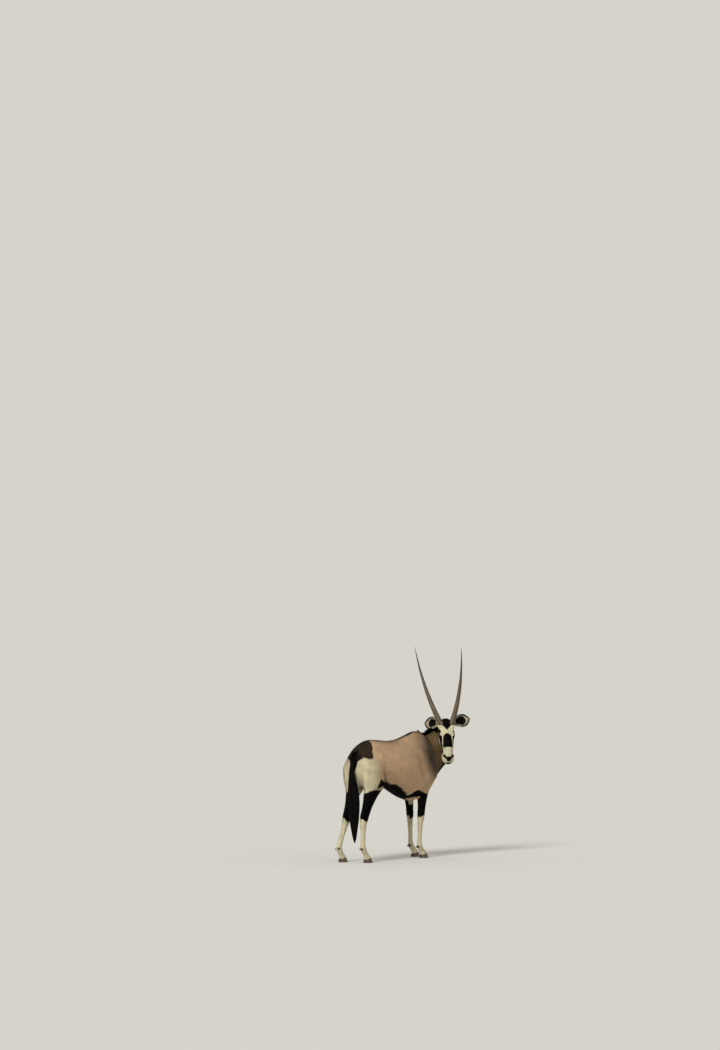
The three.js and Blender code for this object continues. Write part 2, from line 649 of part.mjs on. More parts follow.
// The mane: blades in a row along the crest, a little to alternate sides.
function maneForm() {
  const random = randomStream(MANE.seed);
  const rings = pathRings(NECK, NECK_SIDES, neckSideways);
  const crest = new THREE.CatmullRomCurve3(rings.map((ring) => ring[NECK_SIDES / 4]));
  const locks = Array.from({ length: MANE.locks }, (_, i) => {
    const share = THREE.MathUtils.lerp(MANE.from, MANE.to, i / (MANE.locks - 1));
    const way = crest.getTangentAt(share);
    const level = neckSideways(way).normalize();
    const upward = way.clone().cross(level).addScaledVector(level, (random() - 0.5) * 0.4);
    const length = MANE.length * (0.8 + 0.4 * random());
    const root = crest.getPointAt(share).addScaledVector(upward, -MANE.sunk);
    const middle = root.clone().addScaledVector(upward, MANE.sunk + length / 2);
    middle.addScaledVector(way, -MANE.lean * (length / 2));
    const end = middle.clone().addScaledVector(upward, length / 2);
    end.addScaledVector(way, -(MANE.lean + MANE.curl) * (length / 2));
    return lockForm(new THREE.QuadraticBezierCurve3(root, middle, end), way, MANE.width, MANE.thickness);
  });
  return joined(locks);
}

function material(colour, roughness = 0.9) {
  return new THREE.MeshStandardMaterial({ color: colour, roughness, metalness: 0 });
}

function meshOf(name, geometry, colour, roughness) {
  const mesh = new THREE.Mesh(geometry, material(colour, roughness));
  mesh.name = name;
  return mesh;
}

// Puts a dewclaw behind and a little below the middle of the fetlock.
function placeDewclaw(mesh, foot, along) {
  const fetlock = legSections(foot)[foot.base.findIndex(({ name }) => name === "fetlock")];
  mesh.position.set(fetlock.x - fetlock.halfHeight * 0.8, fetlock.y + along * DEWCLAW.apart, fetlock.z);
  mesh.rotation.set(0, radians(DEWCLAW.slopeDegrees), 0);
  mesh.updateMatrix();
  return mesh;
}

// The foot's group: its origin is under the middle of the hoof, on the floor.
function footPlace(foot) {
  const coronet = legSections(foot).at(-2);
  return new THREE.Vector3(coronet.x + CLAW.topBack, coronet.y, 0);
}

// The block above the coronets' slope, which the pastern ends on.
function aboveCoronet(foot) {
  const rise = CLAW.toeHeight - CLAW.heelHeight;
  const point = footPlace(foot).add(new THREE.Vector3(-CLAW.topBack, 0, CLAW.heelHeight + rise / 2));
  return halfSpace({ point: point.toArray(), normal: [-rise, 0, CLAW.topLength], size: 1600 }, GAP);
}

// Adds one leg: its upper part, its lower part, two claws and two dewclaws.
function addLeg(group, foot, whole) {
  const isFore = foot.base === FORELEG;
  const space = legSpace(isFore ? FORE_PART : HIND_PART, foot.side, GAP);
  const cut = { point: [0, 0, isFore ? SOCK_CUT.FORELEG : SOCK_CUT.HINDLEG], size: 4000 };
  const leg = whole.intersect(space);
  const upper = leg.intersect(halfSpace({ ...cut, normal: [0, 0, 1] }, GAP / 2));
  let lower = leg.intersect(halfSpace({ ...cut, normal: [0, 0, -1] }, GAP / 2));
  lower = lower.intersect(aboveCoronet(foot));
  SIDES.forEach((along) => {
    const name = `${foot.name}_dewclaw_${along * foot.side > 0 ? "outer" : "inner"}`;
    const dewclaw = placeDewclaw(meshOf(name, dewclawForm(), COLOURS.hoof, 0.6), foot, along);
    lower = lower.subtract(solidOf(dewclawForm(GAP).applyMatrix4(dewclaw.matrix)));
    group.add(dewclaw);
  });
  group.add(meshOf(`${foot.name}_upper`, geometryOf(upper), COLOURS.upperLeg));
  group.add(meshOf(`${foot.name}_lower`, geometryOf(lower), COLOURS.lowerLeg));
  const hoof = new THREE.Group();
  hoof.position.copy(footPlace(foot));
  SIDES.forEach((along) => {
    const name = `${foot.name}_claw_${along * foot.side > 0 ? "outer" : "inner"}`;
    hoof.add(meshOf(name, clawForm(along), COLOURS.hoof, 0.55));
  });
  group.add(hoof);
}

// Adds the head's group: the head with its horns, ears and eyes.
function addHead(group) {
  let head = headForm();
  const headGroup = new THREE.Group();
  headMatrix().decompose(headGroup.position, headGroup.quaternion, headGroup.scale);
  SIDES.forEach((side) => {
    const tag = SIDE_NAMES[side];
    head = head.subtract(hornForm(side, GAP)).subtract(earForm(side, GAP));
    headGroup.add(meshOf(`horn_${tag}`, geometryOf(hornForm(side)), COLOURS.horn, 0.7));
    headGroup.add(meshOf(`ear_${tag}`, geometryOf(earForm(side).subtract(hornForm(side, GAP))), COLOURS.ear));
    headGroup.add(meshOf(`eye_${tag}`, geometryOf(eyeForm(side)), COLOURS.eye, 0.15));
  });
  headGroup.add(meshOf("head", geometryOf(head), COLOURS.head));
  group.add(headGroup);
}

function makeGemsbok() {
  const body = new THREE.Group();
  const trunk = barrel(TRUNK, TRUNK_SIDES);
  const neck = neckForm();
  const flesh = joined([trunk, neck, ...FEET.map(legForm)]);
  const tail = tailForm();
  const root = dockForm(GAP);
  const skull = skullForm(GAP).transform(headMatrix().elements);
  const neckPart = joined([trunk, neck, maneForm()]).intersect(halfSpace(NECK_CUT, GAP / 2));
  const neckNode = neckPart.subtract(skull).subtract(earRoots());
  let torso = flesh.subtract(halfSpace(NECK_CUT, -GAP / 2)).subtract(root);
  SIDES.forEach((side) => {
    torso = torso.subtract(legSpace(FORE_PART, side)).subtract(legSpace(HIND_PART, side));
  });
  body.add(meshOf("torso", geometryOf(torso), COLOURS.flank));
  body.add(meshOf("neck", geometryOf(neckNode), COLOURS.neck));
  body.add(meshOf("tail", geometryOf(tail), COLOURS.tail));
  FEET.forEach((foot) => addLeg(body, foot, flesh.subtract(root)));
  addHead(body);
  const box = new THREE.Box3().setFromObject(body, true);
  const centre = box.getCenter(new THREE.Vector3());
  body.position.set(-centre.x, -centre.y, 0);
  const gemsbok = new THREE.Group();
  return gemsbok.add(body);
}

export default makeGemsbok();
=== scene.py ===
"""A life-size gemsbok that stands with its head turned back, as a museum model, with the studio round it.

Sizes in the dataclasses are millimetres in the animal's own frame (x ahead, y to its left, z up) or in its
head's frame (x down the face, y to its left, z out of the forehead). Meshes are metres in the row frame.
"""

import logging
import math
from dataclasses import dataclass, field
from enum import Enum
from functools import cache, cached_property
from typing import Any, Iterable, Sequence

import bmesh
import bpy
import numpy as np
from bpy.types import Material, Mesh, Node, NodeSocket, NodeTree, Object
from mathutils.bvhtree import BVHTree
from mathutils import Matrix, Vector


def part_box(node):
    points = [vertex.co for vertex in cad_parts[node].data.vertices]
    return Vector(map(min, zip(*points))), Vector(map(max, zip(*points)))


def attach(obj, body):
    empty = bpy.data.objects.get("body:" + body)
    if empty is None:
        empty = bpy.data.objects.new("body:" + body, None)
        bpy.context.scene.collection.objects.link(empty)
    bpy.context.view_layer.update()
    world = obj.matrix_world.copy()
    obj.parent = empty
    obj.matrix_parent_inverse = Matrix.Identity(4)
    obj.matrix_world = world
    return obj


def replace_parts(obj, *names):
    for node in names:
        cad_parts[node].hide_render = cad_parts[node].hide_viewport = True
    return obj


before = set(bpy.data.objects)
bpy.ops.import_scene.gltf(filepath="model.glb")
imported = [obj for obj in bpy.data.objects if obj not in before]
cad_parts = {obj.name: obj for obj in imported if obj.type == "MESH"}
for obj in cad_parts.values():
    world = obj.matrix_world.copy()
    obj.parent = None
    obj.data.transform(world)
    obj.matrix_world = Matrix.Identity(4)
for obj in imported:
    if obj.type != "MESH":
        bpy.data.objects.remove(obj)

Array = np.ndarray
Pair = tuple[float, float]
Vec = tuple[float, float, float]
Line2 = tuple[Pair, ...]
Line3 = tuple[Vec, ...]
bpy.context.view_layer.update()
UV_NAME = "OFBake"
SIDES = {"left": 1.0, "right": -1.0}
LOG = logging.getLogger("gemsbok")
COAT_SEED, MANE_SEED, EAR_SEED, TAIL_SEED = 40, 70, 80, 90


class Slot(Enum):
    """The slots of the record that the pieces' finishes belong to."""

    FAWN = "coat_fawn"
    NECK = "coat_grey_brown"
    FACE = "face_pale"
    STOCKING = "stocking_pale"
    BLACK = "hair_black"
    EAR = "ear_tan"
    EYE = "eye_dark"
    HORN = "horn"
    HOOF = "hoof"


def unit(vectors: Array) -> Array:
    """Returns vectors at length one."""
    return vectors / np.maximum(np.linalg.norm(vectors, axis=-1, keepdims=True), 1e-9)


def ease(low: float, high: float, values: Array) -> Array:
    """Returns a smooth step from 0 at low to 1 at high."""
    share = np.clip((values - low) / (high - low), 0.0, 1.0)
    return share * share * (3.0 - 2.0 * share)


def bell(values: Array, width: float) -> Array:
    """Returns 1 where values are nought, fading out smoothly over the width."""
    return np.exp(-((values / width) ** 2))


def round_turn(count: int) -> Array:
    """Returns angles evenly round a circle."""
    return np.linspace(0.0, math.tau, count, endpoint=False)


def folded(points: Array) -> Array:
    """Returns points with those of the right side laid over the left's."""
    return np.stack([points[:, 0], np.abs(points[:, 1]), points[:, 2]], 1)


def laid(ways: Array, normals: Array) -> Array:
    """Returns ways turned to lie flat on a surface, at length one."""
    return unit(ways - (ways * normals).sum(1)[:, None] * normals)


def ripple(points: Array, size: float, seed: int) -> Array:
    """A smooth random field.

    Args:
        points: places, in any length unit.
        size: the distance from crest to crest, in the same unit.
        seed: the field's own random seed.

    Returns:
        One value for each point, mostly from -1 to 1.
    """
    rng = np.random.default_rng(seed)
    total = np.zeros(len(points))
    for octave in range(6):
        way = unit(rng.normal(size=3)) * (math.tau / size) * (0.7 + 0.22 * octave)
        total += np.sin(points @ way + rng.uniform(0.0, math.tau))
    return total / 2.4


def to_path(points: Array, path: Sequence[Sequence[float]]) -> tuple[Array, Array]:
    """How far each point is from a line of straight pieces.

    Args:
        points: places to measure from.
        path: the line's corners.

    Returns:
        The distance, and the share of the line's corners that the nearest place has passed.
    """
    corners = np.array(path, float)
    best = np.full(len(points), np.inf)
    share = np.zeros(len(points))
    for i, (start, end) in enumerate(zip(corners[:-1], corners[1:])):
        run = end - start
        t = np.clip((points - start) @ run / (run @ run), 0.0, 1.0)
        gap = np.linalg.norm(points - start - t[:, None] * run, axis=1)
        nearer = gap < best
        best = np.where(nearer, gap, best)
        share = np.where(nearer, (i + t) / (len(corners) - 1), share)
    return best, share


def mirrored(path: Sequence[Sequence[float]], side: float) -> Array:
    """Returns a path that is given for the left, on the given side."""
    return np.array(path, float) * (1.0, side, 1.0)


@dataclass(frozen=True)
class Stance:
    """The frames that sizes are given in, and the way between them and the row frame."""

    poll: Vec = (538.0, -210.0, 1287.0)
    heading: float = -132.0
    face_slope: float = 24.0
    eye: Vec = (116.0, 56.0, -38.0)

    def head_axes(self) -> Array:
        """Returns the head's axes as rows: down the face, to its left, out of the forehead."""
        turn, slope = math.radians(self.heading), math.radians(self.face_slope)
        ahead = np.array([math.cos(turn), math.sin(turn), 0.0])
        up = np.array([0.0, 0.0, 1.0])
        down_face = ahead * math.sin(slope) - up * math.cos(slope)
        out = ahead * math.cos(slope) + up * math.sin(slope)
        return np.array([down_face, np.cross(out, down_face), out])

    @cache
    def shift(self) -> Array:
        """Returns the row frame's place of the body frame's origin, found from the right eye."""
        low, high = (np.array(corner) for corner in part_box("eye_right"))
        return (low + high) * 500.0 - self.from_head(mirrored([self.eye], -1.0))[0]

    def from_head(self, points: Array) -> Array:
        """Returns points of the head's frame in the body's frame."""
        return np.asarray(points, float) @ self.head_axes() + self.poll

    def to_head(self, points: Array) -> Array:
        """Returns points of the body's frame in the head's frame."""
        return (points - self.poll) @ self.head_axes().T

    def to_row(self, points: Array) -> Array:
        """Returns points of the body's frame in the row frame, in metres."""
        return (np.asarray(points, float) + self.shift()) / 1000.0

    def from_row(self, points: Array) -> Array:
        """Returns points of the row frame, in metres, in the body's frame."""
        return points * 1000.0 - self.shift()


STANCE = Stance()


# Meshes and their numbers.


def placed(name: str, data: Any) -> Object:
    """Returns a new object of the scene that holds the data."""
    piece = bpy.data.objects.new(name, data)
    bpy.context.scene.collection.objects.link(piece)
    return piece


def made_mesh(name: str, points: Array, faces: Sequence[Array], smooth: bool = True) -> Object:
    """Makes an object in the scene from arrays.

    Args:
        name: the piece's name.
        points: its vertices, in metres.
        faces: arrays of vertex numbers, one array for each number of corners.
        smooth: whether its faces shade as one surface.

    Returns:
        The object, at the origin.
    """
    mesh = bpy.data.meshes.new(name)
    corners = np.concatenate([np.asarray(f).ravel() for f in faces])
    sizes = np.concatenate([np.full(len(f), np.asarray(f).shape[1]) for f in faces])
    mesh.vertices.add(len(points))
    mesh.vertices.foreach_set("co", np.asarray(points, np.float32).ravel())
    mesh.loops.add(len(corners))
    mesh.loops.foreach_set("vertex_index", corners.astype(np.int32))
    mesh.polygons.add(len(sizes))
    starts = np.concatenate([[0], np.cumsum(sizes)[:-1]])
    mesh.polygons.foreach_set("loop_start", starts.astype(np.int32))
    mesh.polygons.foreach_set("use_smooth", np.full(len(sizes), smooth))
    mesh.update(calc_edges=True)
    return placed(name, mesh)


def read(items: Any, name: str, width: int, whole: bool = False) -> Array:
    """Returns a property of a mesh's items as rows of numbers, which may be whole ones."""
    found = np.empty(len(items) * width, np.int32 if whole else np.float32)
    items.foreach_get(name, found)
    return found.reshape(-1, width).astype(int if whole else float)


def points_of(mesh: Mesh) -> Array:
    """Returns a mesh's vertices."""
    return read(mesh.vertices, "co", 3)


def normals_of(mesh: Mesh) -> Array:
    """Returns the way out of the surface at a mesh's vertices."""
    return read(mesh.vertex_normals, "vector", 3)


def links_of(mesh: Mesh) -> "Links":
    """Returns a mesh's edges, as the links between its vertices."""
    return Links(read(mesh.edges, "vertices", 2, whole=True), len(mesh.vertices))


def put_points(mesh: Mesh, points: Array) -> None:
    """Moves a mesh's vertices."""
    mesh.vertices.foreach_set("co", points.astype(np.float32).ravel())
    mesh.update()


def give(mesh: Mesh, name: str, values: Array) -> None:
    """Keeps numbers with each vertex, as an attribute that materials read.

    Args:
        mesh: the mesh.
        name: the attribute's name.
        values: a number for each vertex, or a row of up to three.
    """
    if values.ndim == 1:
        mesh.attributes.new(name, "FLOAT", "POINT").data.foreach_set("value", values.astype(np.float32))
        return
    rows = np.ones((len(values), 4), np.float32)
    rows[:, : values.shape[1]] = values
    mesh.attributes.new(name, "FLOAT_COLOR", "POINT").data.foreach_set("color", rows.ravel())


def smooth(mesh: Mesh) -> None:
    """Lets all faces of a mesh shade as one surface."""
    mesh.polygons.foreach_set("use_smooth", np.ones(len(mesh.polygons), bool))


def evaluated(piece: Object) -> Object:
    """Turns a piece's modifiers into its mesh.

    Args:
        piece: the piece.

    Returns:
        The same piece.
    """
    graph = bpy.context.evaluated_depsgraph_get()
    found = piece.evaluated_get(graph)
    mesh = bpy.data.meshes.new_from_object(found, preserve_all_data_layers=True, depsgraph=graph)
    piece.modifiers.clear()
    piece.data = mesh
    return piece


def regridded(piece: Object, voxel: float) -> Mesh:
    """Returns a piece's mesh, made again as one closed surface from voxels of a size in millimetres."""
    grid = piece.modifiers.new("grid", "REMESH")
    grid.mode, grid.voxel_size = "VOXEL", voxel / 1000.0
    return evaluated(piece).data


def copy_of(nodes: Iterable[str], swell: float = 0.0) -> tuple[Array, Array, Array]:
    """The CAD meshes of some nodes as one set of arrays.

    Args:
        nodes: the nodes' names.
        swell: how far each surface moves out, in metres.

    Returns:
        Their points, their triangles, and the number in nodes of each triangle's node.
    """
    points, faces, owners = [], [], []
    count = 0
    for number, node in enumerate(nodes):
        work = bmesh.new()
        work.from_mesh(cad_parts[node].data)
        bmesh.ops.remove_doubles(work, verts=work.verts, dist=1e-5)
        work.normal_update()
        points.append(np.array([v.co + v.normal * swell for v in work.verts]))
        rows = np.array([[v.index for v in f.verts] for f in work.faces])
        work.free()
        faces.append(rows + count)
        owners.append(np.full(len(rows), number))
        count += len(points[-1])
    return np.concatenate(points), np.concatenate(faces), np.concatenate(owners)


@dataclass
class Links:
    """The edges of a mesh, for means over each vertex's neighbours."""

    edges: Array
    count: int

    def mean(self, values: Array) -> Array:
        """Takes means over neighbours, column by column.

        Args:
            values: a number or a row for each vertex.

        Returns:
            The mean of each vertex's neighbours, in the same shape.
        """
        a, b = self.edges.T
        columns = values.reshape(self.count, -1)
        sums = [
            np.bincount(a, columns[b, i], self.count) + np.bincount(b, columns[a, i], self.count)
            for i in range(columns.shape[1])
        ]
        degree = np.bincount(self.edges.ravel(), minlength=self.count)
        return (np.stack(sums, 1) / np.maximum(degree, 1)[:, None]).reshape(values.shape)

    def smoothed(self, values: Array, rounds: int, weight: Array | float = 1.0) -> Array:
        """Eases values towards their neighbours' mean.

        Args:
            values: a number or a row for each vertex.
            rounds: how often.
            weight: how strongly, for all or for each vertex.

        Returns:
            The eased values.
        """
        share = 0.5 * (weight[:, None] if isinstance(weight, np.ndarray) and values.ndim > 1 else weight)
        for _ in range(rounds):
            values = values + share * (self.mean(values) - values)
        return values

    def largest(self) -> Array:
        """Returns which vertices belong to the largest connected part."""
        label = np.arange(self.count)
        a, b = self.edges.T
        while True:
            low = np.minimum(label[a], label[b])
            new = label.copy()
            np.minimum.at(new, a, low)
            np.minimum.at(new, b, low)
            new = new[new]
            if (new == label).all():
                break
            label = new
        return label == np.bincount(label).argmax()


@dataclass
class Patch:
    """Places on the skin, each with the way out and the CAD node that it belongs to."""

    points: Array
    normals: Array
    node: Array
    names: list[str]

    def on(self, *words: str) -> Array:
        """Returns which places are on a node whose name holds every word."""
        fits = np.array([all(word in name for word in words) for name in self.names])
        return fits[self.node]


# Materials.


def linear(colour: str) -> tuple[float, float, float, float]:
    """Returns an sRGB hex value as the linear colour that shaders take."""
    shares = [int(colour[i : i + 2], 16) / 255.0 for i in (1, 3, 5)]
    red, green, blue = (c / 12.92 if c <= 0.04045 else ((c + 0.055) / 1.055) ** 2.4 for c in shares)
    return red, green, blue, 1.0


def add(tree: NodeTree, kind: str, inputs: dict[Any, Any] | None = None, **settings: Any) -> Node:
    """Adds a node.

    Args:
        tree: the node tree.
        kind: the node's type name.
        inputs: for input names or numbers, a value or the output that feeds it.
        settings: the node's own properties.

    Returns:
        The node.
    """
    node = tree.nodes.new(kind)
    for name, value in settings.items():
        setattr(node, name, value)
    for key, value in (inputs or {}).items():
        if isinstance(value, NodeSocket):
            tree.links.new(value, node.inputs[key])
        else:
            node.inputs[key].default_value = value
    return node


class Matter:
    """A material in the making, with short ways to add the nodes that the finishes share."""

    def __init__(self, name: str, uniform: dict[str, Any]) -> None:
        """Makes the material.

        Args:
            name: its name.
            uniform: the values of the shader's inputs that are the same everywhere.
        """
        self.made = bpy.data.materials.new(name)
        self.made.use_nodes = True
        self.tree = self.made.node_tree
        self.shader = self.tree.nodes["Principled BSDF"]
        for key, value in uniform.items():
            self.shader.inputs[key].default_value = value

    @cached_property
    def place(self) -> NodeSocket:
        """Returns the place on the object, in metres."""
        return add(self.tree, "ShaderNodeTexCoord").outputs["Object"]

    def feed(self, name: str, source: NodeSocket) -> None:
        """Joins an output to one of the shader's inputs."""
        self.tree.links.new(source, self.shader.inputs[name])

    def attribute(self, name: str, output: str = "Fac") -> NodeSocket:
        """Returns an attribute of the mesh."""
        return add(self.tree, "ShaderNodeAttribute", attribute_name=name).outputs[output]

    def stretched(self, scale: Vec) -> NodeSocket:
        """Returns the place on the object, scaled along each axis."""
        return add(self.tree, "ShaderNodeMapping", {"Vector": self.place, "Scale": scale}).outputs[0]

    def noise(self, scale: float, detail: float = 2.0, at: NodeSocket | None = None) -> NodeSocket:
        """Returns noise about 0.5, by the place on the object or by the place that is given."""
        inputs = {"Vector": self.place if at is None else at, "Scale": scale, "Detail": detail}
        return add(self.tree, "ShaderNodeTexNoise", inputs).outputs["Fac"]

    def ranged(self, value: NodeSocket, start: Pair, end: Pair = (0.0, 1.0)) -> NodeSocket:
        """Returns a value taken from one range to another."""
        inputs = {"Value": value, 1: start[0], 2: start[1], 3: end[0], 4: end[1]}
        return add(self.tree, "ShaderNodeMapRange", inputs).outputs[0]

    def mixed(self, share: NodeSocket, first: Any, second: Any) -> NodeSocket:
        """Returns a colour between two, each an output or an sRGB hex value."""
        one, other = (linear(colour) if isinstance(colour, str) else colour for colour in (first, second))
        return add(self.tree, "ShaderNodeMix", {0: share, 6: one, 7: other}, data_type="RGBA").outputs[2]

    def scaled(self, colour: NodeSocket, level: NodeSocket) -> NodeSocket:
        """Returns a colour at a level of lightness."""
        return add(self.tree, "ShaderNodeVectorMath", {0: colour, "Scale": level}, operation="SCALE").outputs[0]

    def product(self, first: NodeSocket, second: NodeSocket) -> NodeSocket:
        """Returns one number times another."""
        return add(self.tree, "ShaderNodeMath", {0: first, 1: second}, operation="MULTIPLY").outputs[0]

    def bump(self, height: NodeSocket, strength: float, distance: float, invert: bool = False) -> None:
        """Lets a height tilt the surface, over a distance in metres."""
        inputs = {"Height": height, "Strength": strength, "Distance": distance}
        self.feed("Normal", add(self.tree, "ShaderNodeBump", inputs, invert=invert).outputs[0])


# The coat's pattern.


@dataclass(frozen=True)
class Markings:
    """Where the coat is black, white or grey-brown, the grey-brown partly painted shade: each rule gives millimetres,
    above 0 inside the mark.
    """

    rump_front: Pair = (-400.0, 0.65)
    rump_low: Line2 = (
        (-640, 950), (-600, 955), (-585, 970), (-558, 984), (-531, 970), (-493, 972), (-300, 1010),
    )
    band_top: Line2 = (
        (-470, 790), (-400, 784), (-330, 780), (-250, 762), (-200, 745), (-160, 727), (-141, 719), (-104, 719),
        (-59, 702), (-30, 688), (20, 661), (62, 635), (105, 608), (116, 609), (122, 620), (130, 641), (155, 659),
        (227, 643), (301, 617), (340, 612), (420, 622),
    )
    band_low: Line2 = (
        (-440, 40), (-330, 60), (-230, 54), (-180, 20), (-150, 0), (-100, -20), (13, -30), (120, -30),
        (200, 30), (300, 60),
    )
    thigh_top: Line2 = (
        (-700, 640), (-557, 656), (-538, 680), (-500, 688), (-461, 685), (-419, 680), (-386, 675), (-300, 668),
    )
    link_top: Line2 = (
        (-476, 690), (-464, 721), (-451, 755), (-428, 786), (-398, 768), (-366, 752), (-330, 745),
    )
    link_low: Line2 = ((-476, 694), (-444, 700), (-420, 708), (-389, 714), (-337, 713))
    armpit: Line2 = ((40, 571), (55, 574), (81, 582), (102, 587), (122, 592))
    throat: Line3 = (
        (520, -205, 1150), (545, -206, 1120), (590, -185, 1060), (622, -160, 985), (605, -134, 882), (592, -128, 862),
        (578, -121, 843), (561, -115, 825), (543, -112, 806), (529, -100, 788), (530, -62, 750), (530, 0, 715),
    )
    chest: Line3 = ((530, 0, 715), (480, 34, 660), (400, 46, 610), (330, 60, 585))
    ear_root: Line3 = ((602, -40, 1214), (545, -103, 1194))
    nape: Line3 = (
        (200, 3, 1170), (319, 8, 1190), (390, 18, 1190), (450, 31, 1178), (500, 20, 1170), (545, 2, 1205),
        (613, -62, 1232), (597, -135, 1265),
    )
    eye_stripe: Line3 = (
        (-4, 84, -66), (40, 79, -48), (93, 66, -14), (120, 64, -28), (150, 59, -22), (184, 56, -24), (215, 54, -30),
        (250, 52, -38), (285, 49, -42), (300, 46, -50),
    )
    nostril_arm: Line3 = ((330, 42, -30), (350, 29, -24), (372, 10, -21), (380, 0, -22))
    white_cheek: Pair = (-74.0, 96.0)
    shoulder_edge: Line3 = (
        (537, 0, 1203), (423, 78, 1114), (387, 131, 1022), (392, 156, 927), (400, 180, 833), (417, 179, 766),
    )
    # The fold between neck and shoulder, along which painted shade is drawn.
    shoulder_fold: Line3 = (
        (365, 145, 991), (372, 155, 957), (386, 162, 919), (395, 173, 881), (413, 174, 852), (445, 165, 815),
    )
    leg_shift: Line2 = ((560, 82), (860, 30))
    foot_shift: Line2 = ((60, -72), (420, 12))

    def black(self, s: Patch) -> Array:
        """Lays the black marks over each other.

        Args:
            s: places on the skin.

        Returns:
            How far inside a black mark each place is, in millimetres.
        """
        x, y, z = s.points.T
        a = np.abs(y)
        trunk = s.on("torso") | s.on("neck") | s.on("upper")
        found = np.full(len(x), -200.0)

        def mark(where: Array, depth: Array) -> None:
            """Keeps the deeper of what is there and a new mark."""
            found[where] = np.maximum(found[where], depth[where])

        front, slope = self.rump_front
        rump = np.minimum(front - slope * (1120.0 - z) - x, z - self.along(self.rump_low, x))
        mark(trunk, rump)
        mark(trunk, 52.0 - to_path(s.points, [(-575, 0, 1060), (-612, 0, 1000), (-640, 0, 900)])[0])
        stripe = np.minimum(11.0 + 7.0 * ease(-180, -380, x) - a, 220.0 - x)
        mark(trunk & (s.normals[:, 2] > 0.4), stripe)
        mark(trunk, 22.0 - self.crest(s.points))
        near = x - 45.0 * (y > 0.0) * ease(40.0, 100.0, x)
        band = np.minimum(self.along(self.band_top, near) - z, a - self.along(self.band_low, x))
        mark(s.on("torso") & (x > -470) & (x < 330), band)
        mark(s.on("tail"), np.full(len(x), 20.0))
        inner = -s.normals[:, 1] * np.sign(y)
        for side in SIDES:
            mark(s.on("hindleg", side, "upper"), self.hind_black(s, side, inner))
            mark(s.on("foreleg", side, "upper"), self.fore_black(s, side, inner))
            for leg, spot in (("foreleg", (255.0, 80.0, 112.0)), ("hindleg", (-622.0, 108.0, 132.0))):
                moved = np.stack([x - self.moved(leg, side, z), a, z], 1)
                dark = 16.0 - np.linalg.norm((moved - spot) * (1.0, 0.7, 1.0), axis=1)
                mark(s.on(leg, side, "lower"), dark if leg == "foreleg" else dark - 6.0)
        line, _ = to_path(s.points, self.throat)
        mark(s.on("neck") | s.on("torso"), 33.0 - line)
        mark(s.on("neck"), 17.0 - to_path(s.points, self.ear_root)[0])
        for sign in SIDES.values():
            line, _ = to_path(s.points, mirrored(self.chest, sign))
            mark(trunk, 26.0 - line)
        head = s.on("head")
        found[head] = self.head_black(STANCE.to_head(s.points[head]))
        for side in SIDES:
            ear = s.on("ear", side)
            found[ear] = EAR.black(s.points[ear], s.normals[ear], side)
        return found

    def crest(self, points: Array) -> Array:
        """Returns how far to the side of the mane's line places are, their height counting for little."""
        flat = (1.0, 1.0, 0.12)
        return to_path(points * flat, np.array(self.nape) * flat)[0]

    def moved(self, leg: str, side: str, height: Array) -> Array:
        """Returns how far a left leg stands ahead of the right one at each height, and nought for a right leg."""
        if side == "right":
            return np.zeros(len(height))
        return self.along(self.leg_shift if leg == "foreleg" else self.foot_shift, height)

    def hind_black(self, s: Patch, side: str, inner: Array) -> Array:
        """Draws the black of the thigh and of its link to the belly's band.

        Args:
            s: places on the skin.
            side: left or right.
            inner: how much each place faces the other leg.

        Returns:
            How far inside it each place is, in millimetres.
        """
        x, _, z = s.points.T
        ahead = x - self.moved("hindleg", side, z)
        bare = 640.0 + 260.0 * (1.0 - ease(0.3, 0.75, inner))
        low = np.clip(402.0 - 0.75 * (ahead + 600.0), 392.0, 438.0) - 14.0 * ease(0.3, 0.8, inner)
        thigh = np.minimum(np.minimum(self.along(self.thigh_top, ahead), bare) - z, z - low)
        link = np.minimum(self.along(self.link_top, x) - z, z - self.along(self.link_low, x))
        link = np.minimum(np.minimum(link, x + 472.0), np.abs(s.points[:, 1]) - 60.0)
        return np.maximum(thigh, link)

    def fore_black(self, s: Patch, side: str, inner: Array) -> Array:
        """Draws the black of the forearm, which is pale behind and within above the middle of it.

        Args:
            s: places on the skin.
            side: left or right.
            inner: how much each place faces the other leg.

        Returns:
            How far inside it each place is, in millimetres.
        """
        x, y, z = s.points.T
        ahead = x - self.moved("foreleg", side, z)
        low = np.clip(405.0 + 0.5 * (ahead - 275.0), 380.0, 425.0) - 34.0 * ease(0.3, 0.8, inner)
        pit = np.maximum(z - self.along(self.armpit, np.abs(y)), np.abs(y) - 122.0)
        pit = np.maximum(np.maximum(pit, (s.normals[:, 2] + 0.42) * 60.0), 506.0 - z)
        within = np.maximum(508.0 - z, 70.0 * (0.55 - inner))
        tops = np.minimum(self.along(self.band_top, ahead), 664.0)
        return np.minimum(np.minimum(tops - z, z - low), np.minimum(pit, within))

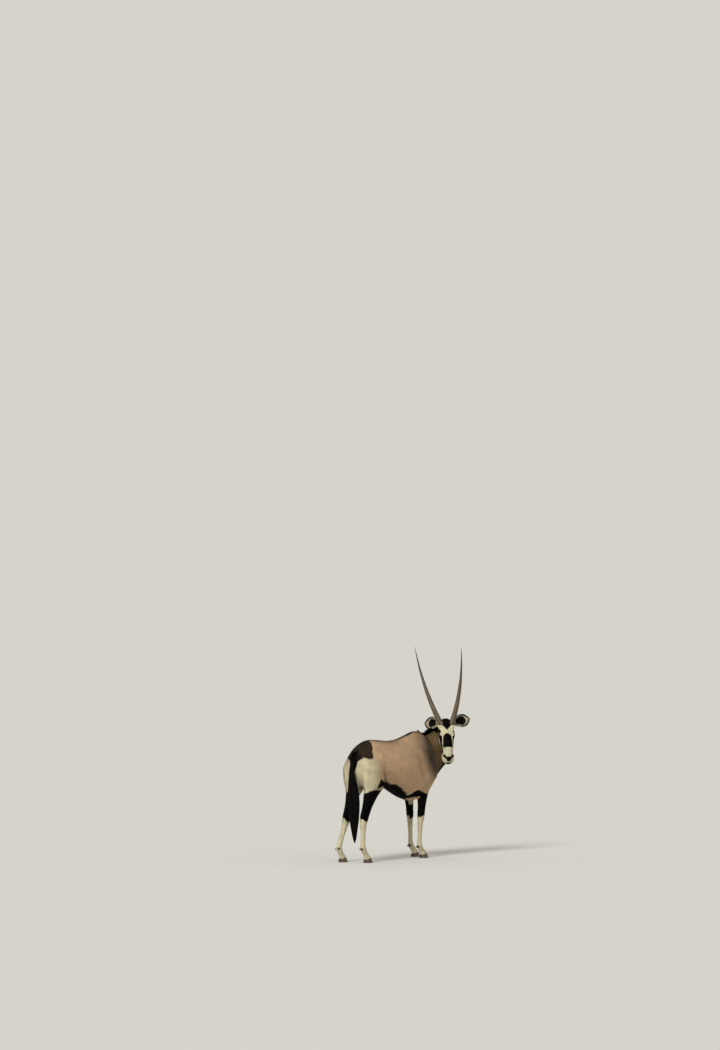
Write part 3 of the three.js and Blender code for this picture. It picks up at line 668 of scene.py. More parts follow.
    def head_black(self, points: Array) -> Array:
        """Draws the black of the face.

        Args:
            points: places in the head's frame.

        Returns:
            How far inside it each place is, in millimetres.
        """
        x, y, z = points.T
        a = np.abs(y)
        nose = 39.0 * np.sqrt(np.clip((x - 114.0) / 30.0, 0.0, 1.0)) + 0.04 * (x - 144.0)
        front = np.where(z > -60.0, 0.0, -60.0)
        found = np.minimum(nose - a, np.minimum(x - 114.0, 254.0 - x)) + front
        found = np.maximum(found, np.minimum(0.82 * (84.0 - x) - a, x + 60.0) + np.where(z > -44, 0.0, -60.0))
        half = folded(points)
        corners = np.array(self.eye_stripe, float)
        behind = np.minimum(z - np.interp(x, corners[:, 0], corners[:, 2]), 0.0) * ease(20.0, 70.0, x)
        aside = (a - np.interp(x, corners[:, 0], corners[:, 1])) * (behind < 0.0)
        near = half - np.stack([0.0 * x, 0.7 * aside, 0.66 * behind], 1)
        line, share = to_path(near, self.eye_stripe)
        width = 13.0 - 4.5 * ease(0.5, 0.62, share) + 3.0 * ease(0.86, 0.94, share)
        found = np.maximum(found, width - line)
        line, _ = to_path(half, self.nostril_arm)
        found = np.maximum(found, 12.0 - line)
        found = np.maximum(found, np.minimum(np.minimum(x - 348.0, 392.0 - x), 19.0 - a) + front)
        lip = 29.0 - np.linalg.norm((half - (400.0, 0.0, -74.0)) * (1.0, 0.9, 1.0), axis=1)
        found = np.maximum(found, lip)
        jaw = np.minimum(np.minimum(16.0 + 0.05 * (190.0 - x) - a, 268.0 - x), -92.0 - z)
        return np.maximum(found, np.minimum(jaw, x - 50.0))

    def white(self, s: Patch) -> Array:
        """Lays the white and pale marks over each other.

        Args:
            s: places on the skin.

        Returns:
            How white each place is, from 0 to 1, where it isn't black.
        """
        x, y, z = s.points.T
        a = np.abs(y)
        belly = np.minimum(self.along(self.band_low, x) + 4.0 - a, self.along(self.band_top, x) - z)
        pale = np.where(s.on("torso"), ease(-4, 6, belly), 0.0)
        inner = -s.normals[:, 1] * np.sign(y)
        under = s.on("upper") & (z < 780)
        pale = np.maximum(pale, np.where(under, ease(0.1, 0.55, inner), 0.0))
        breast = 0.8 * ease(0.2, 0.5, -s.normals[:, 2]) * ease(20, 60, x) * ease(420, 380, x) * ease(640, 605, z)
        pale = np.maximum(pale, np.where(s.on("torso"), breast, 0.0))
        rear = ease(-425, -485, x) * ease(590, 650, z) * ease(1010, 965, z)
        pale = np.maximum(pale, np.where(s.on("torso") | s.on("hindleg"), 0.78 * rear, 0.0))
        pale = np.maximum(pale, 0.5 * (s.on("hindleg", "upper") & (z < 735)))
        pale = np.where(s.on("lower") | (s.on("upper") & (z < 470)), 0.86, pale)
        pale = np.where(s.on("foreleg") & (z < 430), 0.76, pale)
        head = s.on("head")
        down, _, out = STANCE.to_head(s.points[head]).T
        low, far = self.white_cheek
        cheek = ease(low - 14.0, low + 22.0, out + 0.32 * (down - far)) * ease(-44.0, -14.0, down)
        pale[head] = np.maximum(cheek, ease(262.0, 290.0, down))
        for side in SIDES:
            ear = s.on("ear", side)
            pale[ear] = EAR.white(s.normals[ear], side)
        return pale

    def grey(self, s: Patch) -> Array:
        """Draws the neck's grey-brown, partly its own colour and partly painted shade, its fading into the shoulder,
        and painted shade along the fold between them.

        Args:
            s: places on the skin.

        Returns:
            How much of it each place has, from 0 to 1.
        """
        x, y, z = s.points.T
        corners = np.array(self.shoulder_edge, float)[::-1]
        ahead = x - np.interp(z, corners[:, 2], corners[:, 0])
        gap, _ = to_path(folded(s.points), self.shoulder_fold)
        # Painted shade: the neck's grey-brown is stronger on its right side, and only that side gets it along the fold
        # between neck and shoulder.
        far = ease(-20, 60, y)
        fold_shade = 0.9 * (1.0 - far) * bell(gap, 82.0)
        share = np.maximum((1.0 - 0.45 * far) * ease(-210, 0, ahead), fold_shade) * ease(705, 845, z)
        withers = 0.40 * ease(60, 300, x) * ease(960, 1120, z)
        share = np.maximum(share, withers)
        share[s.on("head")] = 1.0
        share[s.on("ear")] = 0.55
        return share

    @staticmethod
    def along(line: Sequence[Pair], values: Array) -> Array:
        """Returns the height of a line given by its corners."""
        corners = np.array(line, float)
        return np.interp(values, corners[:, 0], corners[:, 1])

    def mix(self, s: Patch, soft: float, jitter: Array | float = 0.0) -> Array:
        """The marks as shares that a material mixes by.

        Args:
            s: the places.
            soft: how wide a black mark's edge is.
            jitter: how far each place's own edge is moved.

        Returns:
            A row of the black, white and grey share for each place, the grey share holding painted shade too.
        """
        edge = 3.0 * ripple(s.points, 34.0, 5) + 1.6 * ripple(s.points, 11.0, 6)
        scale = np.where(s.on("head") | s.on("ear"), 0.3, 1.0)
        black = ease(-soft, soft, self.black(s) + (edge + jitter) * scale)
        rump = s.on("torso") | s.on("hindleg", "upper")
        black *= 1.0 - 0.06 * rump * ease(930, 1010, s.points[:, 2]) * ease(-610, -540, s.points[:, 0])
        patchy = 0.12 * ripple(s.points, 90.0, 8) * (1 - s.on("head"))
        white = np.clip(self.white(s) * (1.0 + patchy), 0.0, 1.0)
        return np.stack([black, white, self.grey(s)], 1)

    @staticmethod
    def tone(s: Patch) -> Array:
        """Draws painted shade on the shoulder and along the fold between neck and shoulder, strong on the right side
        and faint on the left, and the coat's own unevenness.

        Args:
            s: places on the skin.

        Returns:
            How light each place's coat is, about 1.
        """
        x, y, z = s.points.T
        gap, _ = to_path(folded(s.points), MARKS.shoulder_fold)
        # Painted shade along the fold between neck and shoulder, strong on the right side, faint on the left.
        fold_shade = (0.5 - 0.4 * ease(-20, 20, y)) * bell(gap, 56.0) * (s.on("torso") | s.on("neck") | s.on("upper"))
        # Painted shade on the shoulder below the withers.
        shoulder = 0.16 * ease(120, 300, x) * ease(1120, 1000, z) * ease(740, 850, z)
        # The coat's own unevenness, at random.
        uneven = 0.035 * ripple(s.points, 160.0, 3)
        return 1.0 - np.maximum(shoulder, fold_shade) + uneven + 0.03 * ripple(s.points, 45.0, 4)


@dataclass(frozen=True)
class Ear:
    """The ears' own measure, for their marks and the lie of their hair."""

    base: Vec = (-8.0, 58.0, -50.0)
    along_left: Vec = (-0.24, 0.97, -0.06)
    along_right: Vec = (-0.28, 0.63, -0.72)
    front: Vec = (0.14, 0.3, 0.94)
    length: float = 182.0
    breadths: Line2 = (
        (-0.1, 17), (0.04, 23), (0.2, 40), (0.42, 58), (0.62, 64), (0.8, 54), (0.93, 30), (1.0, 9),
    )

    def axes(self, side: str) -> Array:
        """Works out an ear's axes.

        Args:
            side: left or right.

        Returns:
            Rows in the head's frame: along the ear, across it, out of its cup.
        """
        flip = (1.0, SIDES[side], 1.0)
        along = unit(np.array(self.along_left if side == "left" else self.along_right) * flip)
        front = np.array(self.front) * flip
        front = unit(front - (front @ along) * along)
        return np.array([along, np.cross(front, along), front])

    def place(self, points: Array, side: str) -> tuple[Array, Array]:
        """Measures where places are on an ear.

        Args:
            points: places in the body's frame.
            side: left or right.

        Returns:
            How far along the ear they are, and how far across: 1 at its lower edge, -1 at its upper one.
        """
        local = (STANCE.to_head(points) - mirrored([self.base], SIDES[side])) @ self.axes(side).T
        share = local[:, 0] / self.length
        half = np.array(self.breadths, float)
        return share, -SIDES[side] * local[:, 1] / np.interp(share, half[:, 0], half[:, 1])

    def inside(self, normals: Array, side: str) -> Array:
        """Returns how much each place faces into the cup's opening."""
        return normals @ (self.axes(side)[2] @ STANCE.head_axes())

    def rim(self, points: Array, side: str) -> Array:
        """Returns 0 at the middle of the ear and 1 at its edge."""
        share, low = self.place(points, side)
        return np.sqrt(low**2 + (np.clip(share - 0.56, 0.0, 1.0) / 0.44) ** 2)

    def black(self, points: Array, normals: Array, side: str) -> Array:
        """Draws the black of an ear.

        Args:
            points: places in the body's frame.
            normals: the way out at each.
            side: left or right.

        Returns:
            How far inside it each place is, in millimetres.
        """
        share, low = self.place(points, side)
        rim, inner = self.rim(points, side), self.inside(normals, side)
        core = (1.0 - np.hypot((share - 0.50) / 0.30, low / 0.80)) * 42.0
        spot = np.stack([share * self.length, low * 50.0], 1)
        line, _ = to_path(spot, [(0.44 * self.length, 18.0), (0.04 * self.length, 22.0)])
        edge = np.minimum((rim - 0.89) * 60.0, (share - 0.42) * 120.0)
        front = np.maximum(np.maximum(core, 8.0 - line), edge)
        return np.where(inner > 0.1, front, np.maximum(edge - 3.0, (share - 0.9) * 100.0))

    def white(self, normals: Array, side: str) -> Array:
        """Returns how white each place is, from 0 to 1."""
        return 0.27 + 0.33 * ease(0.0, 0.3, self.inside(normals, side))


EAR = Ear()
MARKS = Markings()


@dataclass(frozen=True)
class CoatFinish:
    """Oryx hide with its hair on: short, dry, straight guard hair, close to matt, with a faint satin on the tips."""

    name: str = "short_guard_hair"
    fawn: str = "#ccac88"
    # The grey-brown of the face and neck; on the neck it also gives the painted shade.
    grey: str = "#624c2f"
    white: str = "#c7c1a1"
    black: str = "#050303"
    roughness: float = 0.62
    sheen: float = 0.06
    gloss: Pair = (0.24, 0.05)
    hair_width: float = 0.9
    bump: float = 0.35

    def material(self) -> Material:
        """Returns the material, which mixes its colours by the mark and tone attributes."""
        matter = Matter(self.name, {"Roughness": self.roughness})
        share = add(matter.tree, "ShaderNodeSeparateColor", {0: matter.attribute("mark", "Color")}).outputs
        colour = self.fawn
        for output, shade in (("Blue", self.grey), ("Green", self.white), ("Red", self.black)):
            colour = matter.mixed(share[output], colour, shade)
        # The tone attribute brings painted shade on the shoulder and along the neck's fold; the blotches are the coat's
        # own unevenness.
        blotch = matter.ranged(matter.noise(14.0, 4.0), (0.25, 0.75), (0.9, 1.1))
        matter.feed("Base Color", matter.scaled(colour, matter.product(blotch, matter.attribute("tone"))))
        # The black hair is denser, with no bloom and little gloss on it.
        matter.feed("Sheen Weight", matter.ranged(share["Red"], (0.0, 1.0), (self.sheen, 0.0)))
        matter.feed("Specular IOR Level", matter.ranged(share["Red"], (0.0, 1.0), self.gloss))
        # Hair strokes 0.9 mm wide and some 8 mm long, which lie along the body.
        strokes = matter.noise(1.0, 3.0, matter.stretched((130.0, 900.0, 420.0)))
        matter.bump(strokes, self.bump, self.hair_width / 1000.0)
        return matter.made


# The skin.


@dataclass(frozen=True)
class Stroke:
    """A ridge or a hollow along a line: its corners, how wide it is and how high, on both sides of the body."""

    path: Line3
    width: float
    height: float
    on_head: bool = False

    def lift(self, points: Array, head: Array) -> Array:
        """Measures the stroke's lift.

        Args:
            points: places in the body's frame.
            head: the same places in the head's frame.

        Returns:
            How far the stroke lifts each place.
        """
        total = np.zeros(len(points))
        sides = [1.0] if all(corner[1] == 0 for corner in self.path) else [1.0, -1.0]
        for side in sides:
            gap, share = to_path(head if self.on_head else points, mirrored(self.path, side))
            taper = np.sin(np.pi * np.clip(0.12 + 0.76 * share, 0, 1))
            total += self.height * taper * bell(gap, self.width)
        return total


@dataclass
class Skin:
    """The one skin that takes the place of all nodes of flesh, inside them by the coat's depth."""

    fine: float = 2.4
    coarse: float = 6.6
    zoom_reach: Pair = (250.0, 420.0)
    zoom_centre: Vec = (160.0, 0.0, -60.0)
    triangles: int = 190000
    swell: float = 0.4
    rounds: int = 46
    joint_rounds: int = 60
    shade: float = 0.93
    mark_edge: float = 3.5
    depths: dict[str, float] = field(default_factory=lambda: {
        "torso": 5.0, "neck": 5.0, "upper": 3.6, "lower": 2.4, "head": 1.6, "ear": 0.5, "tail": 12.0,
    })
    softness: dict[str, float] = field(default_factory=lambda: {
        "torso": 1.0, "neck": 1.0, "upper": 0.5, "lower": 0.12, "head": 0.22, "ear": 0.12, "tail": 0.3,
    })
    strokes: tuple[Stroke, ...] = (
        Stroke(((215, 150, 1090), (285, 190, 950), (330, 195, 850), (322, 190, 770)), 34.0, 7.0),
        Stroke(((170, 190, 1010), (190, 215, 900), (225, 215, 790), (262, 190, 710)), 46.0, -6.0),
        Stroke(((330, 175, 800), (270, 190, 745), (205, 190, 700)), 42.0, 9.0),
        Stroke(((365, 150, 960), (410, 160, 850), (430, 145, 760)), 30.0, -5.0),
        Stroke(((-395, 120, 1085), (-372, 170, 1035), (-378, 195, 985)), 30.0, 8.0),
        Stroke(((-330, 190, 980), (-318, 205, 900), (-345, 200, 830)), 44.0, -9.0),
        Stroke(((-395, 195, 880), (-372, 200, 800), (-390, 185, 730)), 34.0, 7.0),
        Stroke(((-585, 90, 930), (-560, 150, 830), (-540, 160, 720), (-575, 135, 620)), 26.0, -5.0),
        Stroke(((-480, 190, 900), (-500, 190, 800), (-500, 165, 700)), 52.0, 6.0),
        Stroke(((-606, 40, 960), (-612, 60, 880), (-600, 70, 800)), 26.0, 6.0),
        Stroke(((-220, 0, 730), (-60, 0, 668), (80, 0, 600), (180, 0, 560)), 130.0, 11.0),
        Stroke(((92, 46, -4), (118, 50, -2), (160, 44, -8)), 8.0, 1.6, True),
        Stroke(((150, 62, -60), (190, 60, -74), (250, 52, -84)), 12.0, -2.2, True),
        Stroke(((110, 66, -92), (150, 64, -118), (170, 52, -140)), 20.0, 3.0, True),
        Stroke(((250, 20, -2), (300, 20, -4), (340, 22, -12)), 9.0, 1.4, True),
        Stroke(((262, 0, 0), (310, 0, -4), (350, 0, -10)), 7.0, -1.6, True),
        Stroke(((384, 0, -24), (398, 0, -42), (400, 0, -60)), 3.2, -2.2, True),
        Stroke(((372, 38, -28), (386, 42, -40), (390, 38, -54)), 6.0, 2.4, True),
    )
    mouth: Line3 = (
        (288, 50, -82), (320, 52, -81), (350, 50, -80), (376, 38, -79), (394, 20, -78), (401, 0, -78),
    )

    def nodes(self) -> list[str]:
        """Returns the names of the nodes of flesh, the tail's last."""
        hard = ("eye", "horn", "claw", "tail")
        return sorted(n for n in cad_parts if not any(word in n for word in hard)) + ["tail"]

    def zoom(self) -> tuple[Array, Array]:
        """Returns distances from the head's middle, and what they are in a space where the head is larger."""
        reach = np.linspace(0.0, 4000.0, 4001)
        slope = 1.0 + (self.coarse / self.fine - 1.0) * (1.0 - ease(*self.zoom_reach, reach))
        return reach, np.concatenate([[0.0], np.cumsum((slope[1:] + slope[:-1]) / 2.0)])

    def zoomed(self, points: Array, back: bool = False) -> Array:
        """Moves points into the space with the larger head, or back.

        Args:
            points: points of the body's frame, or of that space.
            back: whether they go back.

        Returns:
            The moved points.
        """
        centre = STANCE.from_head(np.array([self.zoom_centre]))[0]
        near, far = self.zoom()[:: -1 if back else 1]
        away = points - centre
        gap = np.maximum(np.linalg.norm(away, axis=1), 1e-6)
        return centre + away * (np.interp(gap, near, far) / gap)[:, None]

    def build(self) -> Object:
        """Returns the skin in the row frame, shaped, thinned and laid out flat for baking."""
        flesh = [n for n in self.nodes() if n != "tail"]
        points, faces, _ = copy_of(flesh, self.swell / 1000.0)
        points = STANCE.from_row(points)
        tube, rings = TAIL.core()
        work = made_mesh("skin", self.zoomed(np.concatenate([points, tube])) / 1000.0, [faces, rings + len(points)])
        work.modifiers.new("cut", "SUBSURF").subdivision_type = "SIMPLE"
        work.modifiers["cut"].levels = work.modifiers["cut"].render_levels = 1
        mesh = regridded(work, self.coarse)
        put_points(mesh, self.zoomed(points_of(mesh) * 1000.0, back=True))
        self.keep_largest(mesh)
        self.shape(mesh)
        thin = work.modifiers.new("thin", "DECIMATE")
        thin.ratio = min(1.0, self.triangles / (2.0 * len(mesh.polygons)))
        thin.use_collapse_triangulate = True
        evaluated(work)
        put_points(work.data, STANCE.to_row(points_of(work.data)))
        smooth(work.data)
        self.unwrap(work)
        return work

    @staticmethod
    def keep_largest(mesh: Mesh) -> None:
        """Removes every part of a mesh but its largest.

        Args:
            mesh: the mesh.
        """
        kept = links_of(mesh).largest()
        if kept.all():
            return
        work = bmesh.new()
        work.from_mesh(mesh)
        work.verts.ensure_lookup_table()
        loose = [work.verts[i] for i in np.nonzero(~kept)[0]]
        bmesh.ops.delete(work, geom=loose, context="VERTS")
        work.to_mesh(mesh)
        work.free()

    def patch(self, mesh: Mesh, in_metres: bool = False) -> Patch:
        """Finds the CAD node nearest to each vertex.

        Args:
            mesh: the mesh.
            in_metres: whether it is in the row frame, in metres.

        Returns:
            The vertices, each with its node.
        """
        names = self.nodes()
        points, faces, owners = copy_of(names)
        tree = BVHTree.FromPolygons(points.tolist(), faces.tolist())
        places = points_of(mesh)
        rows = places if in_metres else STANCE.to_row(places)
        nearest = np.array([tree.find_nearest(p)[2] for p in rows.tolist()])
        return Patch(STANCE.from_row(rows), normals_of(mesh), owners[nearest], names)

    def shape(self, mesh: Mesh) -> None:
        """Rounds the cut facets off, sets the surface back by the coat's depth and draws the muscles.

        Args:
            mesh: the skin, in the body's frame.
        """
        links = links_of(mesh)
        s = self.patch(mesh)
        soft, deep = np.zeros(len(s.points)), np.zeros(len(s.points))
        for word, value in self.softness.items():
            soft[s.on(word)] = value
            deep[s.on(word)] = self.depths[word]
        high = s.on("upper")
        soft[high] += 0.5 * ease(600.0, 720.0, s.points[high, 2])
        soft, deep = links.smoothed(soft, 10), links.smoothed(deep, 14)
        points = links.smoothed(s.points, self.rounds, soft)
        for word in ("neck", "upper"):
            share = links.smoothed(s.on(word).astype(float), 14)
            border = 3.6 * share * (1.0 - share) * np.minimum(soft * 1.6, 1.0)
            points = links.smoothed(points, self.joint_rounds, border)
        put_points(mesh, points)
        out = normals_of(mesh)
        head = STANCE.to_head(points)
        lift = -deep
        for stroke in self.strokes:
            lift = lift + stroke.lift(points, head)
        slit, _ = to_path(folded(head), self.mouth)
        lift = lift - 4.2 * bell(slit, 2.6) * s.on("head")
        lift = lift + 1.6 * bell(slit - 6.0, 3.6) * s.on("head")
        points = points + out * lift[:, None]
        put_points(mesh, links.smoothed(points, 2, 0.5 * ease(0.2, 0.6, soft)))

    @staticmethod
    def unwrap(piece: Object) -> None:
        """Lays the skin out flat for baking.

        Args:
            piece: the skin.
        """
        piece.data.uv_layers.new(name=UV_NAME)
        bpy.context.view_layer.objects.active = piece
        piece.select_set(True)
        bpy.ops.object.mode_set(mode="EDIT")
        bpy.ops.mesh.select_all(action="SELECT")
        bpy.ops.uv.smart_project(angle_limit=math.radians(72.0), island_margin=0.002)
        bpy.ops.object.mode_set(mode="OBJECT")
        piece.select_set(False)

    def lie(self, s: Patch, links: Links) -> Array:
        """Combs the hair.

        Args:
            s: the skin's vertices.
            links: its edges.

        Returns:
            The way that the hair lies at each vertex, in the body's frame.
        """
        x, _, z = s.points.T
        n = s.normals
        count = len(x)
        way = np.tile((-1.0, 0.0, -0.28), (count, 1))
        way[:, 2] -= 0.35 * ease(0.2, 0.9, np.abs(n[:, 1]))
        haunch = (ease(-380, -520, x) * ease(1120, 980, z))[:, None]
        way = way * (1 - haunch) + haunch * np.array((-0.45, 0.0, -1.0))
        shoulder = (ease(150, 260, x) * ease(1000, 820, z))[:, None]
        way = way * (1 - shoulder) + shoulder * np.array((-0.35, 0.0, -1.0))
        way[s.on("upper") & (z < 640)] = (-0.12, 0.0, -1.0)
        way[s.on("lower")] = (0.05, 0.0, -1.0)
        way[s.on("neck")] = (-0.55, 0.25, -0.75)
        head = s.on("head")
        axes = STANCE.head_axes()
        sideways = np.abs(n[head] @ axes[1])[:, None]
        local = np.array((1.0, 0.0, 0.0)) * (1 - sideways) + np.array((-0.25, 0.0, -0.9)) * sideways
        way[head] = local @ axes
        for side in SIDES:
            way[s.on("ear", side)] = EAR.axes(side)[0] @ axes
        way[s.on("tail")] = (0.0, 0.0, -1.0)
        return laid(links.smoothed(unit(way), 12), n)


# Hair.


@dataclass
class Roots:
    """Where hairs start: their places, the way out, the way that they lie, their place on the unwrap, the patch."""

    points: Array
    normals: Array
    lie: Array
    uv: Array
    patch: Patch

    def turned(self, angles: Array) -> Array:
        """Returns the lie turned on the skin by an angle for each root."""
        side = np.cross(self.normals, self.lie)
        return self.lie * np.cos(angles)[:, None] + side * np.sin(angles)[:, None]


class Pelt:
    """The skin as a place to root hairs in."""

    def __init__(self, skin: Object, build: Skin) -> None:
        """Reads the finished skin and works out the lie of its hair and its marks.

        Args:
            skin: the skin, in the row frame.
            build: the measures that it was built from.
        """
        mesh = skin.data
        mesh.calc_loop_triangles()
        self.triangles = read(mesh.loop_triangles, "vertices", 3, whole=True)
        self.loops = read(mesh.loop_triangles, "loops", 3, whole=True)
        self.uv = read(mesh.uv_layers[UV_NAME].data, "uv", 2)
        self.whole = build.patch(mesh, in_metres=True)
        self.lie = build.lie(self.whole, links_of(mesh))
        corners = self.whole.points[self.triangles]
        cross = np.cross(corners[:, 1] - corners[:, 0], corners[:, 2] - corners[:, 0])
        self.areas = np.linalg.norm(cross, axis=1) / 2.0
        self.middles = corners.mean(1)
        self.node = self.whole.node[self.triangles[:, 0]]

    def faces_on(self, *words: str) -> Array:
        """Returns which triangles are on a node whose name holds every word."""
        return Patch(self.middles, self.middles, self.node, self.whole.names).on(*words)

    def roots(self, chosen: Array, count: int, seed: int) -> Roots:
        """Spreads roots evenly by area.

        Args:
            chosen: a weight for each triangle, or which ones to use.
            count: how many roots.
            seed: the random seed.

        Returns:
            The roots.
        """
        rng = np.random.default_rng(seed)
        total = np.cumsum(self.areas * chosen)
        steps = (np.arange(count) + rng.random(count)) / count * total[-1]
        face = np.minimum(np.searchsorted(total, steps), len(total) - 1)
        r, t = np.sqrt(rng.random(count)), rng.random(count)
        share = np.stack([1.0 - r, r * (1.0 - t), r * t], 1)[:, :, None]
        corner = self.triangles[face]
        points = (self.whole.points[corner] * share).sum(1)
        normals = unit((self.whole.normals[corner] * share).sum(1))
        lie = laid((self.lie[corner] * share).sum(1), normals)
        uv = (self.uv[self.loops[face]] * share).sum(1)
        patch = Patch(points, normals, self.node[face], self.whole.names)
        return Roots(points, normals, lie, uv, patch)


def put_uv(mesh: Mesh, uv: Array) -> None:
    """Gives a mesh its map for baking: one place for each vertex."""
    layer = mesh.uv_layers.new(name=UV_NAME)
    corners = read(mesh.loops, "vertex_index", 1, whole=True)[:, 0]
    layer.data.foreach_set("uv", uv[corners].astype(np.float32).ravel())


def dress(piece: Object, material: Material) -> Object:
    """Gives a piece its material and its body.

    Args:
        piece: the piece.
        material: its finish.

    Returns:
        The same piece.
    """
    piece.data.materials.clear()
    piece.data.materials.append(material)
    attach(piece, "root")
    LOG.info("%s: %d vertices, %d faces", piece.name, len(piece.data.vertices), len(piece.data.polygons))
    return piece


@dataclass(frozen=True)
class Stretch:
    """One stretch of short coat: the nodes that it grows on and the measure of its tufts."""

    name: str
    nodes: tuple[tuple[str, ...], ...]
    tufts: int
    length: float
    width: float
    rise: float
    slot: Slot
    side: float = 0.0
    patch_size: float = 0.003
    root_depth: float = 0.7
    length_spread: float = 0.22
    width_spread: float = 0.3
    mark_edge: float = 1.6
    mark_spread: float = 2.2
    tone_spread: float = 0.085
    tones: tuple[float, ...] = (0.84, 0.98, 0.98, 1.08)

    def chosen(self, pelt: Pelt) -> Array:
        """Finds the stretch on the skin.

        Args:
            pelt: the skin.

        Returns:
            Which of its triangles the stretch covers.
        """
        found = np.zeros(len(pelt.node), bool)
        for words in self.nodes:
            found |= pelt.faces_on(*words)
        return found & (pelt.middles[:, 1] * self.side >= 0.0)

    def build(self, pelt: Pelt, seed: int) -> Object:
        """Grows the stretch.

        Args:
            pelt: the skin to root it in.
            seed: the random seed.

        Returns:
            One mesh of flat tufts, each a narrow kite bent along the body.
        """
        roots = pelt.roots(self.chosen(pelt), self.tufts, seed)
        rng = np.random.default_rng(seed + 1000)
        count = self.tufts
        sway = 0.16 * ripple(roots.points, 75.0, 11) + 0.10 * ripple(roots.points, 24.0, 12)
        way = roots.turned(sway + 0.13 * rng.normal(size=count))
        across = np.cross(roots.normals, way)
        short = self.shortened(roots.patch)
        length = (self.length * short * (1.0 + self.length_spread * rng.uniform(-1, 1, count)))[:, None]
        width = (self.width * (1.0 + self.width_spread * rng.uniform(-1, 1, count)))[:, None]
        rise = (self.rise * short * (0.75 + 0.5 * rng.random(count)))[:, None]
        root = roots.points - roots.normals * self.root_depth
        middle = roots.points + way * length * 0.42 + roots.normals * rise * 0.62
        tip = roots.points + way * length + roots.normals * rise
        points = np.stack([root, middle - across * width / 2, middle + across * width / 2, tip], 1)
        base = np.arange(count)[:, None] * 4
        faces = np.concatenate([base + (0, 2, 1), base + (1, 2, 3)])
        piece = made_mesh(self.name, STANCE.to_row(points.reshape(-1, 3)), [faces])
        middles = Patch(roots.points + way * length * 0.35, roots.normals, roots.patch.node, roots.patch.names)
        marks = MARKS.mix(middles, self.mark_edge, self.mark_spread * rng.normal(size=count))
        give(piece.data, "mark", np.repeat(marks, 4, axis=0))
        # The tone holds painted shade on the shoulder and along the neck's fold, and random unevenness.
        tone = MARKS.tone(roots.patch) * (1.0 + self.tone_spread * rng.normal(size=count))
        give(piece.data, "tone", (tone[:, None] * np.array(self.tones)).ravel())
        corners = np.array(((0, -1), (-0.5, 0), (0.5, 0), (0, 1))) * self.patch_size / 2.0
        put_uv(piece.data, (roots.uv[:, None] + corners).reshape(-1, 2))
        return piece

    @staticmethod
    def shortened(s: Patch) -> Array:
        """Works out where the coat is shorter.

        Args:
            s: places on the skin.

        Returns:
            The coat's length at each place, as a share of the stretch's measure.
        """
        share = np.ones(len(s.points))
        head = s.on("head")
        local = STANCE.to_head(s.points[head])
        down, side, _ = local.T
        share[head] = 1.0 - 0.62 * ease(200, 340, down)
        flat = (1, 0, 1)
        eye = np.linalg.norm(local * flat - np.multiply(STANCE.eye, flat), axis=1)
        share[head] *= 0.4 + 0.6 * ease(16, 34, eye + 40 * (np.abs(side) < 40))
        share[s.on("lower")] = 0.75 + 0.25 * ease(60, 220, s.points[s.on("lower"), 2])
        return share


COAT = (
    Stretch("coat_trunk_right", (("torso",),), 99000, 21.0, 2.8, 4.6, Slot.FAWN, -1.0),
    Stretch("coat_trunk_left", (("torso",),), 99000, 21.0, 2.8, 4.6, Slot.FAWN, 1.0),
    Stretch("coat_neck", (("neck",), ("tail",)), 96000, 19.0, 2.4, 4.4, Slot.NECK),
    Stretch("coat_head", (("head",),), 99000, 9.5, 1.3, 1.5, Slot.FACE),
    Stretch("coat_ears", (("ear",),), 30000, 9.0, 1.1, 1.1, Slot.EAR),
    Stretch("coat_forelegs", (("foreleg", "upper"),), 90000, 15.0, 2.0, 3.4, Slot.BLACK),
    Stretch("coat_hindlegs", (("hindleg", "upper"),), 99000, 17.0, 2.2, 3.8, Slot.BLACK),
    Stretch("coat_shanks", (("lower",),), 78000, 10.0, 1.5, 2.0, Slot.STOCKING),
)


def strands(name: str, paths: Array, flat: Array, width: Array, thickness: float, uv: Array) -> Object:
    """Long hair as thin three-sided locks that taper to a point.

    Args:
        name: the piece's name.
        paths: for each lock the places that it passes, in the body's frame.
        flat: the way that each lock's flat side faces.
        width: how wide each lock is at its root.
        thickness: a lock's thickness as a share of its width.
        uv: each lock's place on the unwrap.

    Returns:
        The piece.
    """
    count, steps, _ = paths.shape
    run = unit(np.gradient(paths, axis=1))
    side = unit(np.cross(run, np.broadcast_to(flat[:, None], run.shape)))
    out = np.cross(side, run)
    share = np.linspace(0.0, 1.0, steps)
    size = (width[:, None] * (0.55 + 0.9 * share) * (1.0 - share**2.4))[:, :, None] / 2.0
    rings = np.stack([paths + side * size, paths - side * size, paths + out * size * 2 * thickness], 2)[:, :-1]
    points = np.concatenate([rings.reshape(count, -1, 3), paths[:, -1:]], 1)
    each = points.shape[1]
    base = np.arange(count)[:, None] * each
    quads = [
        base + (3 * k + j, 3 * k + (j + 1) % 3, 3 * k + 3 + (j + 1) % 3, 3 * k + 3 + j)
        for k in range(steps - 2)
        for j in range(3)
    ]
    last = each - 4
    ends = [base + (last + j, last + (j + 1) % 3, each - 1) for j in range(3)] + [base + (2, 1, 0)]
    piece = made_mesh(name, STANCE.to_row(points.reshape(-1, 3)), [np.concatenate(quads), np.concatenate(ends)])
    rows = np.concatenate([np.repeat(share[:-1], 3), [1.0]])
    spread = np.stack([np.tile((0.4, -0.4, 0.0), steps)[: each - 1].tolist() + [0.0], rows - 0.5], 1) * 0.003
    put_uv(piece.data, (uv[:, None] + spread).reshape(-1, 2))
    give(piece.data, "along", np.tile(rows, count))
    return piece


